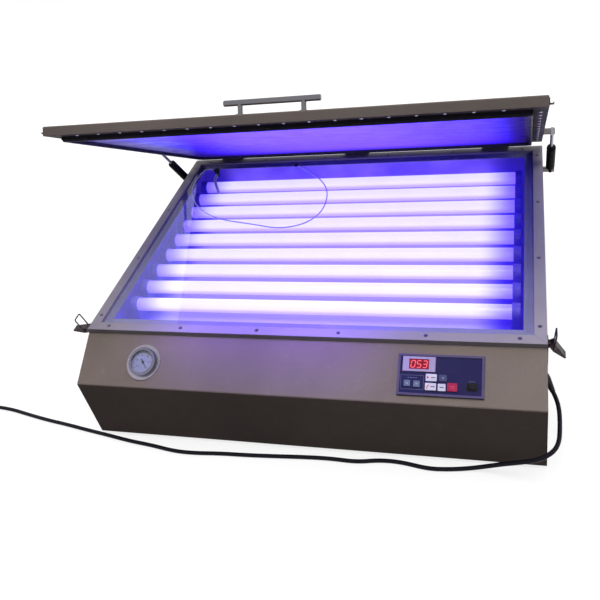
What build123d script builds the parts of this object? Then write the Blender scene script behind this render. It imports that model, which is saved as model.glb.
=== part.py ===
from build123d import *
from math import atan2, cos, hypot, pi, radians, sin, tan
import os

os.makedirs("parts", exist_ok=True)

# A bench-top exposure unit for silk screens: a low sheet-metal cabinet full of ultraviolet tubes, a glass
# deck over them, a hinged lid that holds a rubber vacuum blanket, and a sloping console along the front.
# Millimetres. X runs to the right, Y to the back, Z up; the feet stand on Z = 0.

# ---- Driving dimensions -------------------------------------------------------------------------------

# Cabinet
cabinet_width = 1000.0
deck_depth = 736.0
nose_reach = 106.0
nose_drop = 68.4
base_height = 230.0
sheet = 1.5
fold_radius = 3.0
tray_flange = 15.0
foot_height = 10.0
foot_radius = 16.0
foot_inset = 55.0
vent_length = 120.0
vent_width = 5.0
vent_pitch = 15.0
vent_rows = 5
vent_columns = 3
louvre_length = 90.0
louvre_width = 6.0
louvre_columns = 5
louvre_rows = 4
louvre_pitch_x = 150.0
louvre_pitch_z = 22.0
louvre_drop = 150.0
hole_clearance = 0.05

# Deck
rim_width = 24.0
rim_height = 10.0
mitre_gap = 0.4
deck_plate = 1.5
glass_thickness = 6.0
glass_seam = 2.5
ledge_width = 20.0
deck_screw_inset = 13.0
deck_screw_head = 4.0
deck_screw_dome = 1.2
deck_screw_shank = 2.0
deck_screws_across = 6
deck_screws_deep = 4
deck_screw_end_x = 50.0
deck_screw_end_y = 48.0

# Lamps
tube_count = 9
tube_radius = 16.0
tube_axis_depth = 51.0
first_tube_y = 140.0
last_tube_inset = 80.8
lamp_left_inset = 55.4
lamp_right_inset = 67.4
cap_length = 8.0
cap_clearance = 0.3
pin_length = 6.0
pin_radius = 1.2
pin_spread = 12.7
socket_thickness = 17.0
socket_wall = 3.5
lamp_tray_inset = 14.0
lamp_tray_depth = 84.0
lamp_tray_sheet = 1.2
ballast_count = 3
ballast_length = 280.0
ballast_width = 62.0
ballast_height = 34.0
ballast_pitch = 150.0
first_ballast_y = 170.0
ballast_tab = 14.0
ballast_tab_thickness = 2.0

# Vacuum
port_side_inset = 84.0
port_back_inset = 56.0
port_flange_radius = 9.0
port_flange_height = 3.0
port_stem_radius = 4.0
port_hole_clearance = 0.3
port_nut_radius = 8.0
port_nut_height = 4.0
elbow_radius = 5.5
elbow_drop = 13.0
barb_radius = 2.4
barb_length = 10.0
hose_radius = 4.0
hose_bore = 2.5
hose_hole_clearance = 1.0
pump_side_inset = 100.0
pump_back_inset = 136.0
pump_plate_length = 190.0
pump_plate_width = 90.0
pump_plate_thickness = 3.0
pump_motor_radius = 34.0
pump_motor_length = 105.0
pump_head_length = 46.0
pump_head_width = 72.0
pump_head_height = 62.0
pump_nipple_height = 12.0
bleed_radius = 1.5
bleed_clip_length = 12.0
bleed_clip_width = 9.0
bleed_clip_height = 3.2
bleed_clip_across = 246.0
bleed_clip_behind = 9.0

# Console: places are given across (x, from the middle) and down the slope (s), and those of the pieces on
# the panel are measured across and down from its middle
panel_x = 301.9
panel_s = 62.3
panel_width = 167.0
panel_height = 83.0
panel_frame_width = 5.0
panel_frame_height = 4.0
panel_face_thickness = 2.5
panel_cut_margin = 9.0
panel_frame_bevel = 0.6
display_across = -41.9
display_down = -20.8
display_width = 64.0
display_height = 30.0
display_thickness = 2.0
display_bevel = 0.5
window_width = 39.0
window_height = 20.5
window_depth = 1.0
key_clearance = 0.25
key_rise = 2.2
key_depth = 3.0
key_travel = 0.8
key_corner = 1.5
key_edge = 0.7
plunger_radius = 1.6
plunger_gap = 0.1
board_depth = 9.0
board_thickness = 1.6
board_across = -13.9
board_width = 116.0
board_height = 62.0
standoff_radius = 3.0
switch_across = 60.4
switch_down = 19.7
switch_width = 21.0
switch_height = 15.0
switch_bezel = 1.8
switch_bezel_height = 1.2
switch_depth = 13.0
switch_corner = 1.0
switch_wall_x = 1.0
switch_wall_y = 0.8
switch_floor = 3.0
rocker_clearance = 0.3
rocker_rise = 3.2
rocker_tilt = 9.0
rocker_pin_radius = 1.2
rocker_pin_sunk = 2.5
rocker_pin_seat = 0.7
rocker_pin_end = 0.1
rocker_play = 0.94
rocker_taper = 0.96
rocker_dip_depth = 1.6
rocker_belly = 4.0
gauge_x = -345.0
gauge_s = 63.5
gauge_flange_radius = 40.0
gauge_flange_height = 2.0
gauge_case_radius = 30.0
gauge_case_depth = 28.0
gauge_wall = 3.0
gauge_bezel_radius = 32.0
gauge_bezel_height = 9.0
gauge_bezel_wall = 4.9
gauge_lip = 1.6
gauge_lip_height = 1.2
gauge_dial_thickness = 1.0
gauge_lens_thickness = 1.5
gauge_bezel_round = 2.5
gauge_fit = 0.1
needle_gap = 0.8
needle_thickness = 0.8
needle_length = 21.0
needle_tail = 8.0
needle_width = 1.8
needle_hub_radius = 2.6
needle_arbor_radius = 1.2
needle_arbor_depth = 4.0
needle_angle = -52.0
running_clearance = 0.05

# Lid, whose own sizes are measured from the hinge axis with the lid shut
hinge_back = 4.0
hinge_rise = 4.0
lid_angle = 34.5
lid_side_gap = 1.0
lid_front_gap = 2.0
lid_rise = 4.0
lid_thickness = 20.0
lid_sheet = 1.5
lid_edge_radius = 3.0
lid_flange = 25.7
frame_gap = 0.3
frame_leg = 5.0
frame_foot = 18.0
frame_foot_thickness = 3.0
bead_width = 8.0
bead_height = 4.0
seal_gap = 0.5
blanket_thickness = 2.0
blanket_level = 0.0
blanket_corner = 24.0
clamp_pitch = 50.0
clamp_inset = 13.0
clamp_end_gap = 30.0
clamp_head = 3.2
clamp_dome = 1.8
clamp_shank = 1.6
handle_inset = 18.0
handle_radius = 6.0
handle_length = 195.0
handle_height = 24.0
post_radius = 5.0
post_pitch = 128.0
post_flange_radius = 9.0
post_flange_height = 2.0
hinge_count = 3
hinge_pitch = 380.0
hinge_width = 70.0
knuckle_count = 5
knuckle_gap = 0.4
hinge_pin_radius = 1.9
leaf_thickness = 2.0
body_leaf_drop = 36.0
lid_leaf_rise = 18.0

# Gas springs
spring_out = 19.0
spring_foot_inset = 46.0
spring_foot_drop = 45.0
spring_eye_y = -205.0
spring_eye_z = 12.0
cylinder_radius = 11.0
cylinder_reach = 124.0
cylinder_foot = 17.0
cylinder_wall = 1.5
cylinder_gland = 7.0
rod_radius = 4.2
rod_inside = 24.0
eye_thickness = 7.0
foot_eye_radius = 9.0
rod_eye_radius = 9.5
rod_eye_bore = 5.9
stud_radius = 4.0
eye_stud_radius = 3.0
stud_head_radius = 7.5
stud_head_height = 5.0
stud_washer_height = 2.0
eye_plate_length = 40.0
eye_plate_height = 15.0
eye_plate_thickness = 3.0
eye_side_gap = 0.25
rod_overlap = 1.0

# Latches
latch_y = 16.0
latch_pin_out = 8.0
latch_pin_drop = 14.0
latch_pin_radius = 2.0
latch_plate_width = 28.0
latch_plate_top = 3.0
latch_plate_drop = 60.0
latch_plate_thickness = 1.5
latch_plate_corner = 3.0
ear_spread = 5.0
ear_thickness = 1.5
ear_radius = 5.0
lever_length = 38.0
lever_wall = 1.5
lever_side_gap = 0.5
lever_depth = 8.0
lever_back = 4.5
lever_open_right = 30.0
lever_open_left = 80.0
bail_follow = 0.2
bail_pivot = 8.0
bail_radius = 1.5
bail_spread = 11.0
bail_length = 39.0
bail_corner = 3.5
bail_root_corner = 1.6
bail_end_gap = 0.2
keeper_length = 16.0
keeper_height = 12.0
keeper_thickness = 1.5
keeper_hook_out = 8.0
keeper_lip = 2.6
keeper_drop = 3.0

# Mains lead
cord_radius = 4.5
boot_length = 36.0
boot_lead = 20.0
boot_root_radius = 8.5
boot_collar_radius = 12.0
boot_collar_height = 3.0
boot_y = 64.0
boot_z = -161.0
boot_tip_wall = 1.0
boot_direction = (0.36, -0.92, -0.15)
coil_outer_radius = 58.0
coil_spacing = 9.6
coil_half_turns_in = 4
coil_half_turns_out = 3
plug_lead = 42.0
plug_length = 38.0
plug_neck_share = 0.6
plug_width_share = 1.25
plug_corner_share = 0.7
plug_collar_length = 16.0
plug_pin_length = 19.0
plug_pin_radius = 2.4
plug_pin_spread = 19.0

# ---- Sizes that follow --------------------------------------------------------------------------------

half_width = cabinet_width / 2
inner_half = half_width - sheet
deck_z = foot_height + base_height
plate_bottom = -(rim_height + deck_plate)
glass_top = glass_thickness - rim_height
floor_level = -deck_z
slope = atan2(nose_drop + plate_bottom, nose_reach)
tube_pitch = (deck_depth - first_tube_y - last_tube_inset) / (tube_count - 1)
lamp_left = lamp_left_inset - half_width
lamp_right = half_width - lamp_right_inset
port_x = port_side_inset - half_width
port_y = deck_depth - port_back_inset
pump_x = pump_side_inset - half_width
pump_y = deck_depth - pump_back_inset
display_x = panel_x + display_across
display_s = panel_s + display_down
board_x = panel_x + board_across
switch_x = panel_x + switch_across
switch_s = panel_s + switch_down
spring_foot_y = deck_depth - spring_foot_inset
boot_start = (half_width, boot_y, boot_z)
hinge_y = deck_depth + hinge_back
hinge_z = hinge_rise
theta = radians(lid_angle)
lid_back = -hinge_back
lid_front = lid_front_gap - hinge_y
lid_half = half_width - lid_side_gap
lid_top = lid_rise + lid_thickness


def lid_to_deck(y, z):
    """Turns a place on the lid, seen from the side, into deck measures with the lid up."""
    return (
        hinge_y + y * cos(theta) + z * sin(theta),
        hinge_z - y * sin(theta) + z * cos(theta),
    )


lever_reach = (
    latch_pin_out
    + lever_length * sin(radians(lever_open_left))
    + lever_depth * cos(radians(lever_open_left))
)
spring_reach = spring_out + eye_thickness / 2 + stud_washer_height + stud_head_height
mid_x = (max(lever_reach, spring_reach) - spring_reach) / 2
back_reach = lid_to_deck(lid_back, lid_top)[0]
front_y = nose_reach - (nose_reach + back_reach) / 2


def at(x, y, z):
    """A point measured from the middle of the deck's front edge, at deck height."""
    return Vector(mid_x + x, front_y + y, deck_z + z)


def flat(z):
    """A level plane; its sketches use x across and y back from the deck's front edge."""
    return Plane(origin=at(0, 0, z), x_dir=(1, 0, 0), z_dir=(0, 0, 1))


def profile(x):
    """An upright plane facing right; its sketches use y back and z up from the deck."""
    return Plane(origin=at(x, 0, 0), x_dir=(0, 1, 0), z_dir=(1, 0, 0))


def upright(y):
    """An upright plane facing the front; its sketches use x across and z up."""
    return Plane(origin=at(0, y, 0), x_dir=(1, 0, 0), z_dir=(0, -1, 0))


def console(height):
    """A plane on the sloping console; its sketches use x across and minus s down the slope."""
    normal = Vector(0, -sin(slope), cos(slope))
    return Plane(origin=at(0, 0, plate_bottom) + normal * height, x_dir=(1, 0, 0), z_dir=normal)


lid_normal = Vector(0, sin(theta), cos(theta))
lid_backward = Vector(0, cos(theta), -sin(theta))
hinge_point = at(0, hinge_y, hinge_z)
lid_out = Axis(hinge_point, lid_normal)
console_out = Axis(at(0, 0, plate_bottom), console(0).z_dir)


def lid_flat(z):
    """A plane parallel to the lid; its sketches use x across and y back from the hinge axis."""
    return Plane(origin=hinge_point + lid_normal * z, x_dir=(1, 0, 0), z_dir=lid_normal)


def lid_profile(x):
    """A plane across the lid, facing right; its sketches use the lid's y and z."""
    return Plane(origin=hinge_point + Vector(x, 0, 0), x_dir=lid_backward, z_dir=(1, 0, 0))


def write_part(builder, label):
    """Names a finished piece and writes its file."""
    builder.part.label = label
    export_step(builder.part, f"parts/{label}.step")


def between(first, last, count):
    """Evenly spaced places from first to last."""
    return [first + (last - first) * i / (count - 1) for i in range(count)]


def bend_radii(points, closeness=0.45):
    """The largest arc that each corner of a route of straight runs allows."""
    radii = []
    for before, corner, after in zip(points, points[1:], points[2:]):
        run_in = corner - before
        run_out = after - corner
        half_turn = radians(run_in.get_angle(run_out)) / 2
        radii.append(closeness * min(run_in.length, run_out.length) / tan(half_turn))
    return radii


# ---- Cabinet ------------------------------------------------------------------------------------------

foot_x = half_width - foot_inset
foot_spots = [
    (x, y) for x in (-foot_x, foot_x) for y in (foot_inset - nose_reach, deck_depth - foot_inset)
]
with BuildPart() as feet:
    with BuildSketch(flat(-base_height)):
        with Locations(*foot_spots):
            Circle(foot_radius)
    extrude(amount=-foot_height)
    chamfer(feet.edges().group_by(Axis.Z)[0], length=foot_height / 5)
write_part(feet, "feet")

tray_front = sheet - nose_reach
tray_back = deck_depth - sheet
tray_middle = (tray_front + tray_back) / 2
with BuildPart() as base_tray:
    with BuildSketch(flat(-base_height)):
        with Locations((0, tray_middle)):
            Rectangle(2 * inner_half, tray_back - tray_front)
    extrude(amount=tray_flange)
    with BuildSketch(flat(-base_height + sheet)):
        with Locations((0, tray_middle)):
            Rectangle(2 * (inner_half - sheet), tray_back - tray_front - 2 * sheet)
    extrude(amount=tray_flange, mode=Mode.SUBTRACT)
    with BuildSketch(flat(-base_height)):
        with Locations((0, tray_middle)):
            with GridLocations(2 * vent_length, vent_pitch, vent_columns, vent_rows):
                SlotOverall(vent_length, vent_width)
    extrude(amount=sheet, mode=Mode.SUBTRACT)
write_part(base_tray, "base_tray")

for side, name in ((-1, "side_panel_left"), (1, "side_panel_right")):
    outer_x = side * half_width
    with BuildPart() as side_panel:
        with BuildSketch(profile(outer_x)) as side_sketch:
            with BuildLine():
                Polyline(
                    (0, plate_bottom),
                    (deck_depth, plate_bottom),
                    (deck_depth, -base_height),
                    (-nose_reach, -base_height),
                    (-nose_reach, -nose_drop),
                    close=True,
                )
            make_face()
            nose = side_sketch.vertices().sort_by_distance((-nose_reach, -nose_drop))[0]
            fillet(nose, radius=fold_radius + sheet)
        extrude(amount=-side * sheet)
        if side > 0:
            with BuildSketch(profile(outer_x)):
                with Locations((boot_y, boot_z)):
                    Circle(boot_root_radius + hole_clearance)
            extrude(amount=-sheet, mode=Mode.SUBTRACT)
    write_part(side_panel, name)

inner_nose_y = sheet - nose_reach
inner_nose_z = plate_bottom - sheet * cos(slope) + (inner_nose_y - sheet * sin(slope)) * tan(slope)
panel_cut_width = panel_width - 2 * panel_cut_margin
panel_cut_height = panel_height - 2 * panel_cut_margin
with BuildPart() as front_console:
    with BuildSketch(profile(-inner_half)) as console_sketch:
        with BuildLine():
            Polyline(
                (0, plate_bottom),
                (-nose_reach, -nose_drop),
                (-nose_reach, -base_height),
                (inner_nose_y, -base_height),
                (inner_nose_y, inner_nose_z),
                (sheet / sin(slope), plate_bottom),
                close=True,
            )
        make_face()
        outer_fold = console_sketch.vertices().sort_by_distance((-nose_reach, -nose_drop))[0]
        fillet(outer_fold, radius=fold_radius + sheet)
        inner_fold = console_sketch.vertices().sort_by_distance((inner_nose_y, inner_nose_z))[0]
        fillet(inner_fold, radius=fold_radius)
    extrude(amount=2 * inner_half)
    with BuildSketch(console(0)):
        with Locations((gauge_x, -gauge_s)):
            Circle(gauge_case_radius + key_clearance)
        with Locations((panel_x, -panel_s)):
            Rectangle(panel_cut_width, panel_cut_height)
    extrude(amount=-2 * sheet, mode=Mode.SUBTRACT)
write_part(front_console, "front_console")

with BuildPart() as rear_panel:
    with BuildSketch(upright(deck_depth)):
        with Locations((0, (plate_bottom - base_height) / 2)):
            Rectangle(2 * inner_half, base_height + plate_bottom)
        with Locations((0, -louvre_drop)):
            with GridLocations(louvre_pitch_x, louvre_pitch_z, louvre_columns, louvre_rows):
                SlotOverall(louvre_length, louvre_width, mode=Mode.SUBTRACT)
    extrude(amount=sheet)
write_part(rear_panel, "rear_panel")

# ---- Deck ---------------------------------------------------------------------------------------------

window_inset = rim_width + ledge_width
deck_middle = deck_depth / 2
across_spots = between(deck_screw_end_x - half_width, half_width - deck_screw_end_x, deck_screws_across)
deep_spots = between(deck_screw_end_y, deck_depth - deck_screw_end_y, deck_screws_deep)
deck_screw_spots = [
    (x, y) for x in across_spots for y in (deck_screw_inset, deck_depth - deck_screw_inset)
] + [
    (side * (half_width - deck_screw_inset), y) for side in (-1, 1) for y in deep_spots
]

with BuildPart() as glass_ledge:
    with BuildSketch(flat(plate_bottom)):
        with Locations((0, deck_middle)):
            Rectangle(cabinet_width, deck_depth)
            Rectangle(
                cabinet_width - 2 * window_inset,
                deck_depth - 2 * window_inset,
                mode=Mode.SUBTRACT,
            )
        with Locations(*deck_screw_spots):
            Circle(deck_screw_shank + hole_clearance, mode=Mode.SUBTRACT)
    extrude(amount=deck_plate)
write_part(glass_ledge, "glass_ledge")

corner_gap = mitre_gap / 2
with BuildPart() as deck_rim:
    with BuildSketch(flat(-rim_height)):
        for y_out, y_in in ((0, rim_width), (deck_depth, deck_depth - rim_width)):
            with BuildLine():
                Polyline(
                    (corner_gap - half_width, y_out),
                    (half_width - corner_gap, y_out),
                    (half_width - rim_width - corner_gap, y_in),
                    (rim_width + corner_gap - half_width, y_in),
                    close=True,
                )
            make_face()
        for side in (-1, 1):
            with BuildLine():
                Polyline(
                    (side * half_width, corner_gap),
                    (side * half_width, deck_depth - corner_gap),
                    (side * (half_width - rim_width), deck_depth - rim_width - corner_gap),
                    (side * (half_width - rim_width), rim_width + corner_gap),
                    close=True,
                )
            make_face()
        with Locations(*deck_screw_spots):
            Circle(deck_screw_shank + hole_clearance, mode=Mode.SUBTRACT)
    extrude(amount=rim_height)
write_part(deck_rim, "deck_rim")

with BuildPart() as deck_screws:
    with BuildSketch(flat(plate_bottom)):
        with Locations(*deck_screw_spots):
            Circle(deck_screw_shank)
    extrude(amount=-plate_bottom)
    with BuildSketch(flat(0)):
        with Locations(*deck_screw_spots):
            Circle(deck_screw_head)
    extrude(amount=deck_screw_dome)
    fillet(deck_screws.edges().group_by(Axis.Z)[-1], radius=deck_screw_dome / 2)
write_part(deck_screws, "deck_screws")

glass_inset = rim_width + glass_seam
with BuildPart() as glass_plate:
    with BuildSketch(flat(-rim_height)):
        with Locations((0, deck_middle)):
            Rectangle(cabinet_width - 2 * glass_inset, deck_depth - 2 * glass_inset)
        with Locations((port_x, port_y)):
            Circle(port_stem_radius + port_hole_clearance, mode=Mode.SUBTRACT)
    extrude(amount=glass_thickness)
write_part(glass_plate, "glass_plate")

# ---- Lamps --------------------------------------------------------------------------------------------

tube_spots = [(first_tube_y + i * tube_pitch, -tube_axis_depth) for i in range(tube_count)]
tray_half = half_width - lamp_tray_inset
tray_floor_z = lamp_tray_sheet - lamp_tray_depth
hose_drop_x = pump_x
hose_drop_y = first_tube_y + (tube_count - 1.5) * tube_pitch
with BuildPart() as lamp_tray:
    with BuildSketch(flat(-lamp_tray_depth)):
        with Locations((0, deck_middle)):
            Rectangle(2 * tray_half, deck_depth - 2 * lamp_tray_inset)
    extrude(amount=lamp_tray_depth + plate_bottom)
    with BuildSketch(flat(tray_floor_z)):
        with Locations((0, deck_middle)):
            Rectangle(
                2 * (tray_half - lamp_tray_sheet),
                deck_depth - 2 * (lamp_tray_inset + lamp_tray_sheet),
            )
    extrude(amount=lamp_tray_depth, mode=Mode.SUBTRACT)
    with BuildSketch(flat(-lamp_tray_depth)):
        with Locations((hose_drop_x, hose_drop_y)):
            Circle(hose_radius + hose_hole_clearance)
    extrude(amount=lamp_tray_sheet, mode=Mode.SUBTRACT)
write_part(lamp_tray, "lamp_tray")

socket_radius = tube_radius + socket_wall
socket_bore = tube_radius + cap_clearance
socket_height = -tray_floor_z - tube_axis_depth
with BuildPart() as lamp_sockets:
    for x, direction in ((lamp_left, -1), (lamp_right, 1)):
        with BuildSketch(profile(x)):
            with Locations(*tube_spots):
                Circle(socket_radius)
                with Locations((0, -socket_height / 2)):
                    Rectangle(2 * socket_radius, socket_height)
        extrude(amount=direction * socket_thickness)
        with BuildSketch(profile(x)):
            with Locations(*tube_spots):
                Circle(socket_bore)
        extrude(amount=direction * (cap_length + cap_clearance), mode=Mode.SUBTRACT)
        with BuildSketch(profile(x)):
            with Locations(*tube_spots):
                with GridLocations(pin_spread, 0, 2, 1):
                    Circle(pin_radius + cap_clearance)
        extrude(amount=direction * (cap_length + pin_length + 2 * cap_clearance), mode=Mode.SUBTRACT)
write_part(lamp_sockets, "lamp_sockets")

with BuildPart() as uv_tubes:
    with BuildSketch(profile(lamp_left)):
        with Locations(*tube_spots):
            Circle(tube_radius)
    extrude(amount=lamp_right - lamp_left)
write_part(uv_tubes, "uv_tubes")

with BuildPart() as tube_caps:
    for x, direction in ((lamp_left, -1), (lamp_right, 1)):
        with BuildSketch(profile(x)):
            with Locations(*tube_spots):
                Circle(tube_radius)
        extrude(amount=direction * cap_length)
        with BuildSketch(profile(x)):
            with Locations(*tube_spots):
                with GridLocations(pin_spread, 0, 2, 1):
                    Circle(pin_radius)
        extrude(amount=direction * (cap_length + pin_length))
write_part(tube_caps, "tube_caps")

inside_floor = sheet - base_height
with BuildPart() as ballasts:
    for i in range(ballast_count):
        with BuildSketch(flat(inside_floor)):
            with Locations((0, first_ballast_y + i * ballast_pitch)):
                Rectangle(ballast_length, ballast_width)
        extrude(amount=ballast_height)
        with BuildSketch(flat(inside_floor)):
            with Locations((0, first_ballast_y + i * ballast_pitch)):
                Rectangle(ballast_length + 2 * ballast_tab, ballast_width / 2)
        extrude(amount=ballast_tab_thickness)
write_part(ballasts, "ballasts")

# ---- Vacuum -------------------------------------------------------------------------------------------

elbow_z = -rim_height - port_nut_height - elbow_drop / 2
clip_x = port_x + bleed_clip_across
clip_y = port_y + bleed_clip_behind
with BuildPart() as vacuum_port:
    with BuildSketch(flat(glass_top)):
        with Locations((port_x, port_y)):
            Circle(port_flange_radius)
    extrude(amount=port_flange_height)
    fillet(vacuum_port.edges().group_by(Axis.Z)[-1], radius=port_flange_height / 3)
    with BuildSketch(flat(glass_top)):
        with Locations((port_x, port_y)):
            Circle(port_stem_radius)
    extrude(amount=-glass_thickness)
    with BuildSketch(flat(-rim_height)):
        with Locations((port_x, port_y)):
            RegularPolygon(port_nut_radius, 6)
    extrude(amount=-port_nut_height)
    with BuildSketch(flat(-rim_height - port_nut_height)):
        with Locations((port_x, port_y)):
            Circle(elbow_radius)
    extrude(amount=-elbow_drop)
    with BuildSketch(upright(port_y)):
        with Locations((port_x, elbow_z)):
            Circle(barb_radius)
    extrude(amount=elbow_radius + barb_length)
    with BuildSketch(flat(glass_top)):
        with Locations((clip_x, clip_y)):
            RectangleRounded(bleed_clip_length, bleed_clip_width, radius=bleed_clip_width / 4)
    extrude(amount=bleed_clip_height)
write_part(vacuum_port, "vacuum_port")

pump_floor = inside_floor + pump_plate_thickness
pump_plate_x = pump_x - pump_head_length / 2 + pump_plate_length / 2
pump_axis_z = pump_floor + pump_motor_radius
pump_top = pump_floor + pump_head_height
with BuildPart() as vacuum_pump:
    with BuildSketch(flat(inside_floor)):
        with Locations((pump_plate_x, pump_y)):
            Rectangle(pump_plate_length, pump_plate_width)
    extrude(amount=pump_plate_thickness)
    with BuildSketch(flat(pump_floor)):
        with Locations((pump_x, pump_y)):
            RectangleRounded(pump_head_length, pump_head_width, radius=pump_head_length / 8)
    extrude(amount=pump_head_height)
    with BuildSketch(profile(pump_x + pump_head_length / 2)):
        with Locations((pump_y, pump_axis_z)):
            Circle(pump_motor_radius)
    extrude(amount=pump_motor_length)
    with BuildSketch(flat(pump_top)):
        with Locations((pump_x, pump_y)):
            Circle(barb_radius)
    extrude(amount=pump_nipple_height)
write_part(vacuum_pump, "vacuum_pump")

hose_start_y = port_y - elbow_radius
hose_points = [
    at(port_x, hose_start_y, elbow_z),
    at(port_x, hose_start_y - 22, elbow_z),
    at(port_x + 7, hose_drop_y + 14, elbow_z - 7),
    at(hose_drop_x - 2, hose_drop_y + 2, elbow_z - 25),
    at(hose_drop_x, hose_drop_y, elbow_z - 52),
    at(hose_drop_x, hose_drop_y - 2, elbow_z - 85),
    at(pump_x, pump_y, pump_top + 26),
    at(pump_x, pump_y, pump_top),
]
with BuildPart() as vacuum_hose:
    with BuildLine() as hose_path:
        FilletPolyline(*hose_points, radius=bend_radii(hose_points))
    with BuildSketch(Plane(origin=hose_path.line @ 0, z_dir=hose_path.line % 0)):
        Circle(hose_radius)
        Circle(hose_bore, mode=Mode.SUBTRACT)
    sweep(path=hose_path.line)
write_part(vacuum_hose, "vacuum_hose")

# The bleed cord lies on the glass from the port, out along the left edge and across to its clip; its
# places are measured across and back from the port.
bleed_z = glass_top + bleed_radius
bleed_route = [
    (-port_flange_radius, 2.0),
    (-24.5, 7.0),
    (-38.0, 0.0),
    (-44.0, -24.0),
    (-45.0, -66.0),
    (-39.0, -105.0),
    (-25.0, -138.0),
    (-7.0, -168.0),
    (16.0, -196.0),
    (45.0, -221.0),
    (80.0, -243.0),
    (123.0, -259.0),
    (173.0, -270.0),
    (224.0, -283.0),
    (256.0, -292.0),
    (289.0, -294.0),
    (332.0, -281.0),
    (361.0, -253.0),
    (375.0, -212.0),
    (374.0, -159.0),
    (363.0, -117.0),
    (340.0, -77.0),
    (309.0, -43.0),
    (278.0, -16.0),
    (bleed_clip_across + bleed_clip_length / 2, bleed_clip_behind - 3.0),
]
bleed_points = [at(port_x + across, port_y + behind, bleed_z) for across, behind in bleed_route]
with BuildPart() as bleed_cord:
    with BuildLine() as bleed_path:
        FilletPolyline(*bleed_points, radius=bend_radii(bleed_points))
    with BuildSketch(Plane(origin=bleed_path.line @ 0, z_dir=bleed_path.line % 0)):
        Circle(bleed_radius)
    sweep(path=bleed_path.line)
bleed_length = bleed_path.wire().length
print("bleed cord", round(bleed_length, 1), "volume ratio",
      round(bleed_cord.part.volume / (pi * bleed_radius**2 * bleed_length), 4),
      "least radius", round(min(bend_radii(bleed_points)), 1))
write_part(bleed_cord, "bleed_cord")

# ---- Control panel ------------------------------------------------------------------------------------

# Each key: name, its middle across and down from the panel's, its width and its height.
key_sizes = [
    ("key_time_up", -63.5, 18.1, 12.5, 12.5),
    ("key_time_down", -44.9, 18.7, 12.5, 12.5),
    ("key_start", -16.9, 5.2, 21.5, 14.5),
    ("key_stop", -17.6, 23.1, 21.5, 14.5),
    ("key_light", 5.6, 5.2, 15.5, 13.0),
    ("key_vacuum", 3.7, 23.7, 15.0, 14.5),
    ("key_reset", 23.7, 22.3, 19.5, 16.5),
]
keys = [
    (name, panel_x + across, panel_s + down, width, height)
    for name, across, down, width, height in key_sizes
]
frame_inner_width = panel_width - 2 * panel_frame_width
frame_inner_height = panel_height - 2 * panel_frame_width
with BuildPart() as panel_frame:
    with BuildSketch(console(0)):
        with Locations((panel_x, -panel_s)):
            Rectangle(panel_width, panel_height)
            Rectangle(frame_inner_width, frame_inner_height, mode=Mode.SUBTRACT)
    extrude(amount=panel_frame_height)
    chamfer(panel_frame.faces().sort_by(console_out)[-1].edges(), length=panel_frame_bevel)
write_part(panel_frame, "panel_frame")

with BuildPart() as panel_face:
    with BuildSketch(console(0)):
        with Locations((panel_x, -panel_s)):
            Rectangle(frame_inner_width - 2 * key_clearance, frame_inner_height - 2 * key_clearance)
        for _, key_x, key_s, key_width, key_height in keys:
            with Locations((key_x, -key_s)):
                RectangleRounded(
                    key_width + 2 * key_clearance,
                    key_height + 2 * key_clearance,
                    radius=key_corner + key_clearance,
                    mode=Mode.SUBTRACT,
                )
        with Locations((switch_x, -switch_s)):
            Rectangle(switch_width - 2 * switch_bezel, switch_height - 2 * switch_bezel, mode=Mode.SUBTRACT)
    extrude(amount=panel_face_thickness)
write_part(panel_face, "panel_face")

with BuildPart() as led_display:
    with BuildSketch(console(panel_face_thickness)):
        with Locations((display_x, -display_s)):
            Rectangle(display_width, display_height)
    extrude(amount=display_thickness)
    chamfer(led_display.faces().sort_by(console_out)[-1].edges(), length=display_bevel)
    with BuildSketch(console(panel_face_thickness + display_thickness)):
        with Locations((display_x, -display_s)):
            Rectangle(window_width, window_height)
    extrude(amount=-window_depth, mode=Mode.SUBTRACT)
write_part(led_display, "led_display")

key_top = panel_face_thickness + key_rise
key_bottom = key_top - key_rise - key_depth
for key_name, key_x, key_s, key_width, key_height in keys:
    with BuildPart() as key:
        with BuildSketch(console(key_bottom)):
            with Locations((key_x, -key_s)):
                RectangleRounded(key_width, key_height, radius=key_corner)
        extrude(amount=key_top - key_bottom)
        fillet(key.faces().sort_by(console_out)[-1].edges(), radius=key_edge)
    write_part(key, key_name)

board_top = -board_depth
with BuildPart() as timer_board:
    with BuildSketch(console(board_top - board_thickness)):
        with Locations((board_x, -panel_s)):
            Rectangle(board_width, board_height)
    extrude(amount=board_thickness)
    with BuildSketch(console(board_top)):
        for _, key_x, key_s, _, _ in keys:
            with Locations((key_x, -key_s)):
                Circle(plunger_radius)
    extrude(amount=key_bottom - key_travel - plunger_gap - board_top)
    with BuildSketch(console(board_top)):
        with Locations((board_x, -panel_s)):
            with GridLocations(board_width - 2 * standoff_radius, board_height - 2 * standoff_radius, 2, 2):
                Circle(standoff_radius)
    extrude(amount=-board_top)
write_part(timer_board, "timer_board")

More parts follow.
